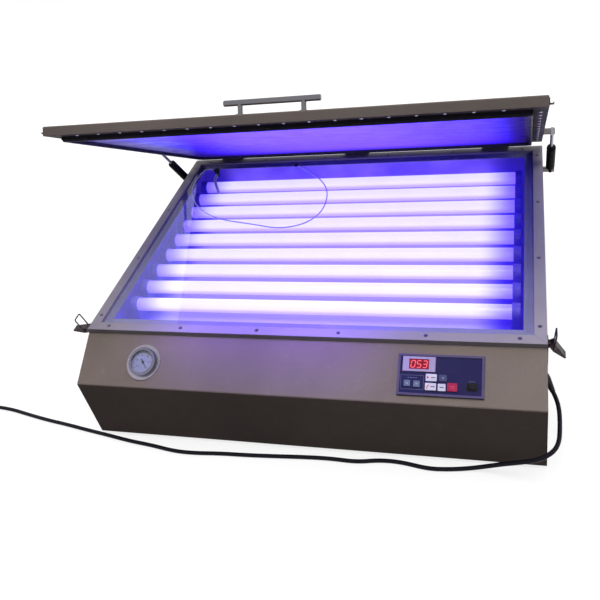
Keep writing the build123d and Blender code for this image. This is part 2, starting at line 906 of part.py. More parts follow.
cavity_width = switch_width - 2 * (switch_bezel + switch_wall_x)
cavity_height = switch_height - 2 * (switch_bezel + switch_wall_y)
rocker_width = cavity_width - 2 * rocker_clearance
rocker_height = cavity_height - 2 * rocker_clearance
switch_top = panel_face_thickness + switch_bezel_height
rocker_axis_height = switch_top - rocker_pin_sunk
with BuildPart() as switch_housing:
    with BuildSketch(console(panel_face_thickness)):
        with Locations((switch_x, -switch_s)):
            RectangleRounded(switch_width, switch_height, radius=switch_corner)
    extrude(amount=switch_bezel_height)
    with BuildSketch(console(panel_face_thickness)):
        with Locations((switch_x, -switch_s)):
            Rectangle(switch_width - 2 * switch_bezel, switch_height - 2 * switch_bezel)
    extrude(amount=-switch_depth)
    with BuildSketch(console(switch_top)):
        with Locations((switch_x, -switch_s)):
            Rectangle(cavity_width, cavity_height)
    extrude(amount=-(switch_bezel_height + switch_depth - switch_floor), mode=Mode.SUBTRACT)
    rocker_axis_plane = Plane(
        origin=console(rocker_axis_height).from_local_coords((switch_x, -switch_s, 0)),
        x_dir=(1, 0, 0),
        z_dir=console(0).y_dir,
    )
    with BuildSketch(rocker_axis_plane):
        Circle(rocker_pin_radius + running_clearance)
    extrude(amount=cavity_height / 2 + rocker_pin_seat, both=True, mode=Mode.SUBTRACT)
write_part(switch_housing, "switch_housing")

# The rocker stands tilted to one side; its crown is a shallow V over a round belly.
tilt = radians(rocker_tilt)
rocker_half = rocker_width / 2 * rocker_play
rocker_plane = Plane(
    origin=rocker_axis_plane.origin,
    x_dir=Vector(cos(tilt), 0, 0) - console(0).z_dir * sin(tilt),
    z_dir=console(0).y_dir,
)
rocker_crown = rocker_rise + rocker_pin_sunk
rocker_dip = rocker_crown - rocker_dip_depth
with BuildPart() as power_rocker:
    with BuildSketch(rocker_plane):
        with BuildLine():
            Polyline(
                (rocker_half, 0),
                (rocker_half * rocker_taper, -rocker_crown),
                (0, -rocker_dip),
                (-rocker_half * rocker_taper, -rocker_crown),
                (-rocker_half, 0),
            )
            ThreePointArc((-rocker_half, 0), (0, rocker_belly), (rocker_half, 0))
        make_face()
    extrude(amount=rocker_height / 2, both=True)
    with BuildSketch(rocker_plane):
        Circle(rocker_pin_radius)
    extrude(amount=cavity_height / 2 + rocker_pin_seat - rocker_pin_end, both=True)
write_part(power_rocker, "power_rocker")

# ---- Vacuum gauge -------------------------------------------------------------------------------------

seat_radius = gauge_bezel_radius - gauge_bezel_wall
dial_radius = seat_radius - gauge_fit
dial_top = gauge_flange_height + gauge_dial_thickness
with BuildPart() as gauge_case:
    with BuildSketch(console(0)):
        with Locations((gauge_x, -gauge_s)):
            Circle(gauge_flange_radius)
    extrude(amount=gauge_flange_height)
    with BuildSketch(console(0)):
        with Locations((gauge_x, -gauge_s)):
            Circle(gauge_case_radius)
    extrude(amount=-gauge_case_depth)
    with BuildSketch(console(gauge_flange_height)):
        with Locations((gauge_x, -gauge_s)):
            Circle(seat_radius - gauge_wall)
    extrude(amount=-(gauge_case_depth + gauge_flange_height - gauge_wall), mode=Mode.SUBTRACT)
write_part(gauge_case, "gauge_case")

gauge_centre = console(0).from_local_coords((gauge_x, -gauge_s, 0))
gauge_section = Plane(origin=gauge_centre, x_dir=(1, 0, 0), z_dir=console(0).y_dir)
bezel_bottom = -gauge_flange_height
bezel_top = -(gauge_flange_height + gauge_bezel_height)
lip_level = bezel_top + gauge_lip_height
round_bulge = gauge_bezel_round * (1 - sin(pi / 4))
with BuildPart() as gauge_bezel:
    with BuildSketch(gauge_section):
        with BuildLine():
            Polyline(
                (seat_radius, bezel_bottom),
                (gauge_bezel_radius, bezel_bottom),
                (gauge_bezel_radius, bezel_top + gauge_bezel_round),
            )
            ThreePointArc(
                (gauge_bezel_radius, bezel_top + gauge_bezel_round),
                (gauge_bezel_radius - round_bulge, bezel_top + round_bulge),
                (gauge_bezel_radius - gauge_bezel_round, bezel_top),
            )
            Polyline(
                (gauge_bezel_radius - gauge_bezel_round, bezel_top),
                (seat_radius - gauge_lip, bezel_top),
                (seat_radius - gauge_lip, lip_level),
                (seat_radius, lip_level),
                (seat_radius, bezel_bottom),
            )
        make_face()
    revolve(axis=Axis(gauge_centre, console(0).z_dir))
write_part(gauge_bezel, "gauge_bezel")

with BuildPart() as gauge_dial:
    with BuildSketch(console(gauge_flange_height)):
        with Locations((gauge_x, -gauge_s)):
            Circle(dial_radius)
            Circle(needle_arbor_radius + running_clearance, mode=Mode.SUBTRACT)
    extrude(amount=gauge_dial_thickness)
write_part(gauge_dial, "gauge_dial")

needle_level = dial_top + needle_gap
with BuildPart() as gauge_needle:
    with BuildSketch(console(needle_level)):
        with Locations(Location((gauge_x, -gauge_s), needle_angle)):
            Circle(needle_hub_radius)
            with Locations((needle_length / 2, 0)):
                Trapezoid(needle_length, needle_width, 90, 90)
            with Locations((-needle_tail / 2, 0)):
                Rectangle(needle_tail, 2 * needle_width)
    extrude(amount=needle_thickness)
    with BuildSketch(console(needle_level)):
        with Locations((gauge_x, -gauge_s)):
            Circle(needle_arbor_radius)
    extrude(amount=-(needle_gap + gauge_dial_thickness + needle_arbor_depth))
write_part(gauge_needle, "gauge_needle")

lens_top = gauge_flange_height + gauge_bezel_height - gauge_lip_height
with BuildPart() as gauge_lens:
    with BuildSketch(console(lens_top - gauge_lens_thickness)):
        with Locations((gauge_x, -gauge_s)):
            Circle(dial_radius)
    extrude(amount=gauge_lens_thickness)
write_part(gauge_lens, "gauge_lens")

# ---- Lid ----------------------------------------------------------------------------------------------

lid_middle = (lid_front + lid_back) / 2
lid_depth = lid_back - lid_front
opening_half = lid_half - lid_flange
opening_depth = lid_depth - 2 * lid_flange
frame_half = opening_half - frame_gap
frame_depth = opening_depth - 2 * frame_gap
clamp_columns = int(2 * (opening_half - clamp_end_gap) // clamp_pitch) + 1
clamp_rows = int((opening_depth - 2 * clamp_end_gap) // clamp_pitch) + 1
clamp_x = [(i - (clamp_columns - 1) / 2) * clamp_pitch for i in range(clamp_columns)]
clamp_y = [lid_middle + (i - (clamp_rows - 1) / 2) * clamp_pitch for i in range(clamp_rows)]
clamp_spots = [
    (x, y) for x in clamp_x for y in (lid_front + clamp_inset, lid_back - clamp_inset)
] + [
    (side * (lid_half - clamp_inset), y) for side in (-1, 1) for y in clamp_y
]

with BuildPart() as lid_shell:
    with BuildSketch(lid_flat(lid_rise)):
        with Locations((0, lid_middle)):
            Rectangle(2 * lid_half, lid_depth)
    extrude(amount=lid_thickness)
    upper_edges = lid_shell.faces().sort_by(lid_out)[-1].edges()
    fillet(upper_edges, radius=lid_edge_radius)
    with BuildSketch(lid_flat(lid_rise + lid_sheet)):
        with Locations((0, lid_middle)):
            Rectangle(2 * (lid_half - lid_sheet), lid_depth - 2 * lid_sheet)
    extrude(amount=lid_thickness - 2 * lid_sheet, mode=Mode.SUBTRACT)
    with BuildSketch(lid_flat(lid_rise)):
        with Locations((0, lid_middle)):
            Rectangle(2 * opening_half, opening_depth)
        with Locations(*clamp_spots):
            Circle(clamp_shank)
    extrude(amount=lid_sheet, mode=Mode.SUBTRACT)
write_part(lid_shell, "lid_shell")

glass_level = glass_top - hinge_z
bead_bottom = glass_level + seal_gap
bead_top = bead_bottom + bead_height
foot_level = lid_rise + lid_sheet
with BuildPart() as blanket_frame:
    with BuildSketch(lid_flat(foot_level)):
        with Locations((0, lid_middle)):
            Rectangle(2 * (frame_half + frame_foot), frame_depth + 2 * frame_foot)
            Rectangle(
                2 * (frame_half - frame_leg),
                frame_depth - 2 * frame_leg,
                mode=Mode.SUBTRACT,
            )
    extrude(amount=frame_foot_thickness)
    with BuildSketch(lid_flat(bead_top)):
        with Locations((0, lid_middle)):
            Rectangle(2 * frame_half, frame_depth)
            Rectangle(
                2 * (frame_half - frame_leg),
                frame_depth - 2 * frame_leg,
                mode=Mode.SUBTRACT,
            )
    extrude(amount=foot_level - bead_top)
    with BuildSketch(lid_flat(foot_level)):
        with Locations(*clamp_spots):
            Circle(clamp_shank)
    extrude(amount=frame_foot_thickness, mode=Mode.SUBTRACT)
write_part(blanket_frame, "blanket_frame")

blanket_half = frame_half - frame_leg
blanket_depth = frame_depth - 2 * frame_leg
skirt_thickness = bead_width - frame_leg
with BuildPart() as vacuum_blanket:
    with BuildSketch(lid_flat(bead_bottom)):
        with Locations((0, lid_middle)):
            Rectangle(2 * frame_half, frame_depth)
            RectangleRounded(
                2 * (frame_half - bead_width),
                frame_depth - 2 * bead_width,
                radius=blanket_corner,
                mode=Mode.SUBTRACT,
            )
    extrude(amount=bead_height)
    with BuildSketch(lid_flat(bead_top)):
        with Locations((0, lid_middle)):
            Rectangle(2 * blanket_half, blanket_depth)
            RectangleRounded(
                2 * (blanket_half - skirt_thickness),
                blanket_depth - 2 * skirt_thickness,
                radius=blanket_corner,
                mode=Mode.SUBTRACT,
            )
    extrude(amount=blanket_level - bead_top + blanket_thickness)
    with BuildSketch(lid_flat(blanket_level)):
        with Locations((0, lid_middle)):
            Rectangle(2 * blanket_half, blanket_depth)
    extrude(amount=blanket_thickness)
write_part(vacuum_blanket, "vacuum_blanket")

with BuildPart() as clamp_screws:
    with BuildSketch(lid_flat(lid_rise)):
        with Locations(*clamp_spots):
            Circle(clamp_head)
    extrude(amount=-clamp_dome)
    with BuildSketch(lid_flat(lid_rise)):
        with Locations(*clamp_spots):
            Circle(clamp_shank)
    extrude(amount=lid_sheet + frame_foot_thickness)
write_part(clamp_screws, "clamp_screws")

handle_y = lid_front + handle_inset
bar_level = lid_top + handle_height
with BuildPart() as lid_handle:
    with BuildSketch(lid_profile(-handle_length / 2)):
        with Locations((handle_y, bar_level)):
            Circle(handle_radius)
    extrude(amount=handle_length)
    bar_ends = lid_handle.edges().filter_by(GeomType.CIRCLE)
    fillet(bar_ends, radius=handle_radius / 4)
    with BuildSketch(lid_flat(lid_top)):
        with Locations((0, handle_y)):
            with GridLocations(post_pitch, 0, 2, 1):
                Circle(post_radius)
    extrude(amount=handle_height)
    with BuildSketch(lid_flat(lid_top)):
        with Locations((0, handle_y)):
            with GridLocations(post_pitch, 0, 2, 1):
                Circle(post_flange_radius)
    extrude(amount=post_flange_height)
write_part(lid_handle, "lid_handle")

# ---- Hinges -------------------------------------------------------------------------------------------

hinge_spots = [(i - (hinge_count - 1) / 2) * hinge_pitch for i in range(hinge_count)]
knuckle_width = (hinge_width - (knuckle_count - 1) * knuckle_gap) / knuckle_count


def knuckles(hinge_x, first):
    """Left ends of every second knuckle of one hinge."""
    left = hinge_x - hinge_width / 2
    return [left + i * (knuckle_width + knuckle_gap) for i in range(first, knuckle_count, 2)]


with BuildPart() as hinge_body_leaves:
    for hinge_x in hinge_spots:
        with BuildSketch(profile(hinge_x - hinge_width / 2)):
            with BuildLine():
                Polyline(
                    (deck_depth, -body_leaf_drop),
                    (deck_depth + leaf_thickness, -body_leaf_drop),
                    (deck_depth + leaf_thickness, -knuckle_gap),
                    (deck_depth, -knuckle_gap),
                    close=True,
                )
            make_face()
        extrude(amount=hinge_width)
        for left in knuckles(hinge_x, 0):
            with BuildSketch(profile(left)):
                with Locations((hinge_y, hinge_z)):
                    Circle(hinge_back)
                with BuildLine():
                    Polyline(
                        (deck_depth, -leaf_thickness),
                        (deck_depth + leaf_thickness, -leaf_thickness),
                        (deck_depth + leaf_thickness, hinge_z),
                        (deck_depth, hinge_z),
                        close=True,
                    )
                make_face()
                with Locations((hinge_y, hinge_z)):
                    Circle(hinge_pin_radius + running_clearance, mode=Mode.SUBTRACT)
            extrude(amount=knuckle_width)
        with BuildSketch(profile(hinge_x - hinge_width / 2)):
            with Locations((hinge_y, hinge_z)):
                Circle(hinge_pin_radius)
        extrude(amount=hinge_width)
write_part(hinge_body_leaves, "hinge_body_leaves")

with BuildPart() as hinge_lid_leaves:
    for hinge_x in hinge_spots:
        with BuildSketch(lid_profile(hinge_x - hinge_width / 2)):
            with BuildLine():
                Polyline(
                    (lid_back, lid_rise + knuckle_gap),
                    (lid_back + leaf_thickness, lid_rise + knuckle_gap),
                    (lid_back + leaf_thickness, lid_rise + lid_leaf_rise),
                    (lid_back, lid_rise + lid_leaf_rise),
                    close=True,
                )
            make_face()
        extrude(amount=hinge_width)
        for left in knuckles(hinge_x, 1):
            with BuildSketch(lid_profile(left)):
                Circle(hinge_back)
                with BuildLine():
                    Polyline(
                        (lid_back, 0),
                        (lid_back + leaf_thickness, 0),
                        (lid_back + leaf_thickness, lid_rise + leaf_thickness),
                        (lid_back, lid_rise + leaf_thickness),
                        close=True,
                    )
                make_face()
                Circle(hinge_pin_radius + running_clearance, mode=Mode.SUBTRACT)
            extrude(amount=knuckle_width)
write_part(hinge_lid_leaves, "hinge_lid_leaves")

# ---- Gas springs --------------------------------------------------------------------------------------

eye_y, eye_z = lid_to_deck(spring_eye_y, spring_eye_z)
spring_length = hypot(eye_y - spring_foot_y, eye_z + spring_foot_drop)
spring_direction = Vector(0, eye_y - spring_foot_y, eye_z + spring_foot_drop).normalized()
print("gas spring length open", round(spring_length, 2))

with BuildPart() as spring_studs:
    for side in (-1, 1):
        with BuildSketch(profile(side * half_width)):
            with Locations((spring_foot_y, -spring_foot_drop)):
                Circle(stud_head_radius)
        extrude(amount=side * (spring_out - eye_thickness / 2 - running_clearance))
        with BuildSketch(profile(side * half_width)):
            with Locations((spring_foot_y, -spring_foot_drop)):
                Circle(stud_radius)
        extrude(amount=side * spring_reach)
        with BuildSketch(profile(side * (half_width + spring_out + eye_thickness / 2 + running_clearance))):
            with Locations((spring_foot_y, -spring_foot_drop)):
                RegularPolygon(stud_head_radius, 6)
        extrude(amount=side * (stud_washer_height + stud_head_height - running_clearance))
write_part(spring_studs, "spring_studs")

eye_stud_reach = spring_out + eye_thickness / 2 + stud_washer_height + lid_side_gap
with BuildPart() as spring_brackets:
    for side in (-1, 1):
        with BuildSketch(lid_profile(side * lid_half)):
            with Locations((spring_eye_y, lid_rise + lid_thickness / 2)):
                RectangleRounded(eye_plate_length, eye_plate_height, radius=eye_plate_height / 3)
        extrude(amount=side * eye_plate_thickness)
        with BuildSketch(lid_profile(side * lid_half)):
            with Locations((spring_eye_y, spring_eye_z)):
                Circle(eye_stud_radius)
        extrude(amount=side * eye_stud_reach)
        with BuildSketch(lid_profile(side * lid_half)):
            with Locations((spring_eye_y, spring_eye_z)):
                Circle(stud_head_radius)
        extrude(amount=side * (spring_out - eye_thickness / 2 + lid_side_gap - eye_side_gap))
        with BuildSketch(lid_profile(side * (half_width + spring_out + eye_thickness / 2 + eye_side_gap))):
            with Locations((spring_eye_y, spring_eye_z)):
                Circle(stud_head_radius)
        extrude(amount=side * stud_washer_height)
write_part(spring_brackets, "spring_brackets")

for side, name in ((-1, "left"), (1, "right")):
    foot = at(side * (half_width + spring_out), spring_foot_y, -spring_foot_drop)
    eye = foot + spring_direction * spring_length

    def across_spring(distance):
        """A plane square to the spring, this far from its foot pivot."""
        return Plane(origin=foot + spring_direction * distance, x_dir=(1, 0, 0), z_dir=spring_direction)

    foot_plane = Plane(origin=foot, x_dir=spring_direction, z_dir=(1, 0, 0))
    eye_plane = Plane(origin=eye, x_dir=spring_direction, z_dir=(1, 0, 0))
    with BuildPart() as spring_cylinder:
        with BuildSketch(across_spring(cylinder_foot)):
            Circle(cylinder_radius)
        extrude(amount=cylinder_reach - cylinder_foot)
        fillet(spring_cylinder.edges().filter_by(GeomType.CIRCLE), radius=cylinder_wall)
        with BuildSketch(across_spring(cylinder_foot + cylinder_gland)):
            Circle(cylinder_radius - cylinder_wall)
        extrude(amount=cylinder_reach - cylinder_foot - 2 * cylinder_gland, mode=Mode.SUBTRACT)
        with BuildSketch(across_spring(cylinder_reach)):
            Circle(rod_radius + running_clearance)
        extrude(amount=-2 * cylinder_gland, mode=Mode.SUBTRACT)
        with BuildSketch(foot_plane):
            Circle(foot_eye_radius)
            with Locations((cylinder_foot / 2, 0)):
                Rectangle(cylinder_foot, 2 * stud_head_radius)
        extrude(amount=eye_thickness / 2, both=True)
        with BuildSketch(foot_plane):
            Circle(stud_radius + running_clearance)
        extrude(amount=eye_thickness, both=True, mode=Mode.SUBTRACT)
    write_part(spring_cylinder, f"spring_cylinder_{name}")

    rod_start = cylinder_reach - rod_inside
    with BuildPart() as spring_rod:
        with BuildSketch(across_spring(rod_start)):
            Circle(rod_radius)
        extrude(amount=spring_length - rod_start - rod_eye_radius + rod_overlap)
        with BuildSketch(across_spring(rod_start)):
            Circle(cylinder_radius - cylinder_wall - 2 * running_clearance)
        extrude(amount=cylinder_gland)
        with BuildSketch(eye_plane):
            Circle(rod_eye_radius)
        extrude(amount=eye_thickness / 2, both=True)
        with BuildSketch(eye_plane):
            Circle(rod_eye_bore)
        extrude(amount=eye_thickness, both=True, mode=Mode.SUBTRACT)
    write_part(spring_rod, f"spring_rod_{name}")

# ---- Latches ------------------------------------------------------------------------------------------

lever_half = ear_spread + ear_thickness + lever_side_gap + lever_wall
with BuildPart() as latch_plates:
    for side in (-1, 1):
        with BuildSketch(profile(side * half_width)):
            with Locations((latch_y, -(latch_plate_top + latch_plate_drop) / 2)):
                RectangleRounded(
                    latch_plate_width,
                    latch_plate_drop - latch_plate_top,
                    radius=latch_plate_corner,
                )
        extrude(amount=side * latch_plate_thickness)
        for y in (latch_y - ear_spread - ear_thickness, latch_y + ear_spread):
            with BuildSketch(upright(y)):
                with Locations((side * (half_width + latch_pin_out), -latch_pin_drop)):
                    Circle(ear_radius)
                with Locations((side * (half_width + latch_pin_out / 2), -latch_pin_drop)):
                    Rectangle(latch_pin_out, 2 * ear_radius)
            extrude(amount=-ear_thickness)
        with BuildSketch(upright(latch_y)):
            with Locations((side * (half_width + latch_pin_out), -latch_pin_drop)):
                Circle(latch_pin_radius)
        extrude(amount=lever_half, both=True)
write_part(latch_plates, "latch_plates")

with BuildPart() as latch_keepers:
    for side in (-1, 1):
        keeper_y = latch_y - hinge_y
        keeper_level = lid_rise + lid_thickness / 2
        with BuildSketch(lid_profile(side * lid_half)):
            with Locations((keeper_y, keeper_level)):
                Rectangle(keeper_length, keeper_height)
        extrude(amount=side * keeper_thickness)
        shelf_level = keeper_level - keeper_drop - keeper_thickness / 2
        with BuildSketch(lid_profile(side * lid_half)):
            with Locations((keeper_y, shelf_level)):
                Rectangle(keeper_length, keeper_thickness)
        extrude(amount=side * keeper_hook_out)
        with BuildSketch(lid_profile(side * (lid_half + keeper_hook_out - keeper_thickness))):
            with Locations((keeper_y, shelf_level + keeper_lip / 2)):
                Rectangle(keeper_length, keeper_lip)
        extrude(amount=side * keeper_thickness)
write_part(latch_keepers, "latch_keepers")

for side, name, open_angle in ((-1, "left", lever_open_left), (1, "right", lever_open_right)):
    turn = radians(open_angle)
    lean = turn * bail_follow
    pivot = at(side * (half_width + latch_pin_out), latch_y, -latch_pin_drop)
    along = Vector(side * sin(turn), 0, -cos(turn))
    lever_plane = Plane(origin=pivot, x_dir=along, z_dir=(0, -side, 0))
    with BuildPart() as latch_lever:
        with BuildSketch(lever_plane):
            with BuildLine():
                Polyline(
                    (-lever_back, -lever_back),
                    (bail_pivot + lever_back, -lever_back),
                    (lever_length, lever_depth - 2 * lever_wall),
                    (lever_length, lever_depth),
                    (-lever_back, lever_depth),
                    close=True,
                )
            make_face()
        extrude(amount=lever_half, both=True)
        lever_hollow = ((lever_length - 2 * lever_back) / 2, lever_depth / 2 - lever_wall - lever_back)
        with BuildSketch(lever_plane):
            with Locations(lever_hollow):
                Rectangle(lever_length, lever_depth + 2 * lever_back)
        extrude(amount=lever_half - lever_wall, both=True, mode=Mode.SUBTRACT)
        with BuildSketch(lever_plane):
            Circle(latch_pin_radius + running_clearance)
            with Locations((bail_pivot, 0)):
                Circle(bail_radius + running_clearance)
        extrude(amount=lever_half, both=True, mode=Mode.SUBTRACT)
    write_part(latch_lever, f"latch_lever_{name}")

    bail_root = pivot + along * bail_pivot
    upward = Vector(side * sin(lean), 0, cos(lean))
    wire_in = ear_spread + ear_thickness + lever_side_gap + bail_end_gap
    bail_corners = [
        bail_root + Vector(0, -wire_in, 0),
        bail_root + Vector(0, -bail_spread, 0),
        bail_root + Vector(0, -bail_spread, 0) + upward * bail_length,
        bail_root + Vector(0, bail_spread, 0) + upward * bail_length,
        bail_root + Vector(0, bail_spread, 0),
        bail_root + Vector(0, wire_in, 0),
    ]
    with BuildPart() as latch_bail:
        with BuildLine() as bail_path:
            FilletPolyline(
                *bail_corners,
                radius=[bail_root_corner, bail_corner, bail_corner, bail_root_corner],
            )
        with BuildSketch(Plane(origin=bail_path.line @ 0, z_dir=bail_path.line % 0)):
            Circle(bail_radius)
        sweep(path=bail_path.line)
    write_part(latch_bail, f"latch_bail_{name}")

# ---- Mains lead ---------------------------------------------------------------------------------------

boot_axis = Vector(*boot_direction).normalized()
boot_root = at(*boot_start)
boot_tip = boot_root + boot_axis * boot_length
with BuildPart() as cord_gland:
    with BuildSketch(Plane(origin=boot_root, z_dir=boot_axis)):
        Circle(boot_root_radius)
    with BuildSketch(Plane(origin=boot_tip, z_dir=boot_axis)):
        Circle(cord_radius + boot_tip_wall)
    loft()
    split(bisect_by=profile(half_width), keep=Keep.TOP)
    with BuildSketch(profile(half_width)):
        with Locations((boot_y, boot_z)):
            Circle(boot_collar_radius)
    extrude(amount=boot_collar_height)
    with BuildSketch(profile(half_width)):
        with Locations((boot_y, boot_z)):
            Circle(boot_root_radius)
    extrude(amount=-2 * sheet)
write_part(cord_gland, "cord_gland")

# The lead leaves its boot, rounds the front corner, drops to the floor and runs off to the left.
cord_floor = floor_level + cord_radius
coil_x = -905.0
coil_y = -113.0
cord_route = [
    (524.0, -12.0, -171.0),
    (524.5, -40.0, -171.5),
    (523.5, -67.0, -171.0),
    (521.5, -91.0, -170.0),
    (514.5, -111.0, -169.5),
    (500.5, -125.5, -171.5),
    (480.0, -133.0, -178.0),
    (449.0, -131.0, -192.0),
    (416.0, -125.5, -209.0),
    (385.0, -122.5, -224.5),
    (350.0, -123.0, cord_floor),
    (313.0, -129.0, cord_floor),
    (270.0, -132.0, cord_floor),
    (213.0, -121.0, cord_floor),
    (167.0, -121.0, cord_floor),
    (121.0, -130.0, cord_floor),
    (62.0, -127.0, cord_floor),
    (5.0, -129.0, cord_floor),
    (-58.0, -133.0, cord_floor),
    (-122.0, -136.5, cord_floor),
    (-186.0, -138.0, cord_floor),
    (-250.0, -143.0, cord_floor),
    (-300.0, -142.0, cord_floor),
    (-358.0, -132.0, cord_floor),
    (-420.0, -125.0, cord_floor),
    (-482.0, -114.0, cord_floor),
    (-545.0, -104.0, cord_floor),
    (-607.0, -93.0, cord_floor),
    (-669.0, -84.0, cord_floor),
    (-731.0, -72.0, cord_floor),
    (-790.0, -59.5, cord_floor),
    (-850.0, coil_y + coil_outer_radius, cord_floor),
    (coil_x + 2 * cord_radius, coil_y + coil_outer_radius, cord_floor),
]
cord_points = [boot_tip, boot_tip + boot_axis * boot_lead] + [at(*place) for place in cord_route]
with BuildPart() as mains_cord:
    with BuildLine() as cord_path:
        FilletPolyline(*cord_points, radius=bend_radii(cord_points))
    with BuildSketch(Plane(origin=cord_path.line @ 0, z_dir=cord_path.line % 0)):
        Circle(cord_radius)
    sweep(path=cord_path.line)
cord_length = cord_path.wire().length
print("mains cord", round(cord_length, 1), "volume ratio",
      round(mains_cord.part.volume / (pi * cord_radius**2 * cord_length), 4),
      "least radius", round(min(bend_radii(cord_points)), 1))
write_part(mains_cord, "mains_cord")

# The spare length is wound inwards on the floor, climbs one layer, and winds out again to the plug.
with BuildPart() as cord_coil:
    with BuildLine() as coil_path:
        here = at(coil_x + 2 * cord_radius, coil_y + coil_outer_radius, cord_floor)
        turn_point = at(coil_x, coil_y + coil_outer_radius, cord_floor)
        Line(here, turn_point)
        radius = coil_outer_radius
        heading = 1
        total_turns = coil_half_turns_in + 1 + coil_half_turns_out
        for i in range(total_turns):
            climbing = i == coil_half_turns_in
            rise = coil_spacing if climbing else 0
            end = turn_point + Vector(0, -2 * radius * heading, rise)
            middle = (turn_point + end) / 2 + Vector(-radius * heading, 0, 0)
            ThreePointArc(turn_point, middle, end)
            turn_point = end
            heading = -heading
            radius += -coil_spacing / 2 if i < coil_half_turns_in else coil_spacing / 2
        plug_start = turn_point + Vector(-plug_lead, 0, 0)
        Line(turn_point, plug_start)
    with BuildSketch(Plane(origin=coil_path.line @ 0, z_dir=coil_path.line % 0)):
        Circle(cord_radius)
    sweep(path=coil_path.line)
coil_length = coil_path.wire().length
steps = 900
track = [coil_path.line @ (i / steps) for i in range(steps + 1)]
skip = int(steps * 6 * cord_radius / coil_length) + 1
least_gap = min(
    (track[i] - track[j]).length - 2 * cord_radius
    for i in range(0, steps, 2)
    for j in range(i + skip, steps, 2)
)
print("coil", round(coil_length, 1), "least gap", round(least_gap, 2), "volume ratio",
      round(cord_coil.part.volume / (pi * cord_radius**2 * coil_length), 4))
write_part(cord_coil, "cord_coil")

plug_radius = plug_start.Z
plug_line = Vector(-1, 0, 0)


def across_plug(distance):
    """A plane square to the plug, this far from the cord's end."""
    return Plane(origin=plug_start + plug_line * distance, x_dir=(0, 1, 0), z_dir=plug_line)


with BuildPart() as mains_plug:
    with BuildSketch(across_plug(0)):
        Circle(cord_radius + boot_tip_wall)
    with BuildSketch(across_plug(plug_collar_length)):
        Circle(plug_radius * plug_neck_share)
    loft()
    with BuildSketch(across_plug(plug_collar_length)):
        RectangleRounded(
            2 * plug_radius * plug_width_share,
            2 * plug_radius,
            radius=plug_radius * plug_corner_share,
        )
    extrude(amount=plug_length - plug_collar_length)
    with BuildSketch(across_plug(plug_length)):
        with GridLocations(plug_pin_spread, 0, 2, 1):
            Circle(plug_pin_radius)
    extrude(amount=plug_pin_length)
write_part(mains_plug, "mains_plug")
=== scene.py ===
import logging
import math
from collections.abc import Callable, Iterable, Sequence
from dataclasses import dataclass
from enum import Enum
from functools import cached_property

import bmesh
import bpy
from mathutils import Matrix, Vector


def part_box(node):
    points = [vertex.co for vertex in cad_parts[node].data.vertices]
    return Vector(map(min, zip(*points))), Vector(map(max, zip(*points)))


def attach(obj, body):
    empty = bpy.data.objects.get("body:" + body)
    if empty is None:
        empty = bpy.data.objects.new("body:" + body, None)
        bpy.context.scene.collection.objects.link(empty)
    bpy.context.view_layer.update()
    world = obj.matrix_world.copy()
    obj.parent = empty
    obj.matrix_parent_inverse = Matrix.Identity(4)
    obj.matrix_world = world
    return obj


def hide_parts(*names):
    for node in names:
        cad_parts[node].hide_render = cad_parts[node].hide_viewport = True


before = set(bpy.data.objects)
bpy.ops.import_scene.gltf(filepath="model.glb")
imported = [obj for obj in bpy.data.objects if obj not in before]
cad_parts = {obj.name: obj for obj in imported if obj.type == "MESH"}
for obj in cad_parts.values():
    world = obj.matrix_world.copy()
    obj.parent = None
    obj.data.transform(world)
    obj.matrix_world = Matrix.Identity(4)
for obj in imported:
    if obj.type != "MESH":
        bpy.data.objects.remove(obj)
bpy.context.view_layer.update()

log = logging.getLogger("exposure_unit")

Point = tuple[float, float, float]
Flat = tuple[float, float]
Colour = tuple[float, float, float]


# ---- Places on the unit -------------------------------------------------------------------------------


@dataclass(frozen=True)
class Unit:
    """Shared sizes of the unit in millimetres, and the ways to turn its own measures into row-frame metres.

    Deck measures run from the middle of the deck's front edge. Console measures run across from the
    middle and down the slope. Lid measures run from the hinge axis, with the lid seen shut, so that the
    lid's own places stand at negative y.
    """

    middle_x: float = 8.656
    front_y: float = -322.149
    deck_z: float = 240.0
    half_width: float = 500.0
    deck_depth: float = 736.0
    plate_bottom: float = -11.5
    nose_reach: float = 106.0
    nose_drop: float = 68.4
    glass_top: float = -4.0
    hinge_y: float = 740.0
    hinge_z: float = 4.0
    lid_angle: float = 34.5
    blanket_y: float = -371.0

    def deck(self, x: float, y: float, z: float) -> Vector:
        """Turns deck measures into a row-frame point in metres."""
        return Vector((self.middle_x + x, self.front_y + y, self.deck_z + z)) / 1000

    @property
    def slope(self) -> float:
        """The console's slope in radians."""
        return math.atan2(self.nose_drop + self.plate_bottom, self.nose_reach)

    def console(self, x: float, s: float, height: float) -> Vector:
        """Turns console measures into a row-frame point in metres; the height is square out of the sheet."""
        across, down = math.cos(self.slope), math.sin(self.slope)
        return self.deck(x, -s * across - height * down, self.plate_bottom - s * down + height * across)

    def lid(self, x: float, y: float, z: float) -> Vector:
        """Turns lid measures into a row-frame point in metres, with the lid up."""
        turn = math.radians(self.lid_angle)
        return self.deck(
            x,
            self.hinge_y + y * math.cos(turn) + z * math.sin(turn),
            self.hinge_z - y * math.sin(turn) + z * math.cos(turn),
        )


UNIT = Unit()
Placing = Callable[[float, float, float], Vector]


def on_console(x: float, up: float, height: float) -> Vector:
    """A console place whose second measure runs up the slope instead of down it."""
    return UNIT.console(x, -up, height)


# ---- Mesh helpers -------------------------------------------------------------------------------------


def add_object(name: str, data: bpy.types.ID) -> bpy.types.Object:
    """Puts an object into the scene.

    Args:
        name: Its name.
        data: Its mesh, curve, lamp or camera.

    Returns:
        The new object.
    """
    made = bpy.data.objects.new(name, data)
    bpy.context.scene.collection.objects.link(made)
    return made


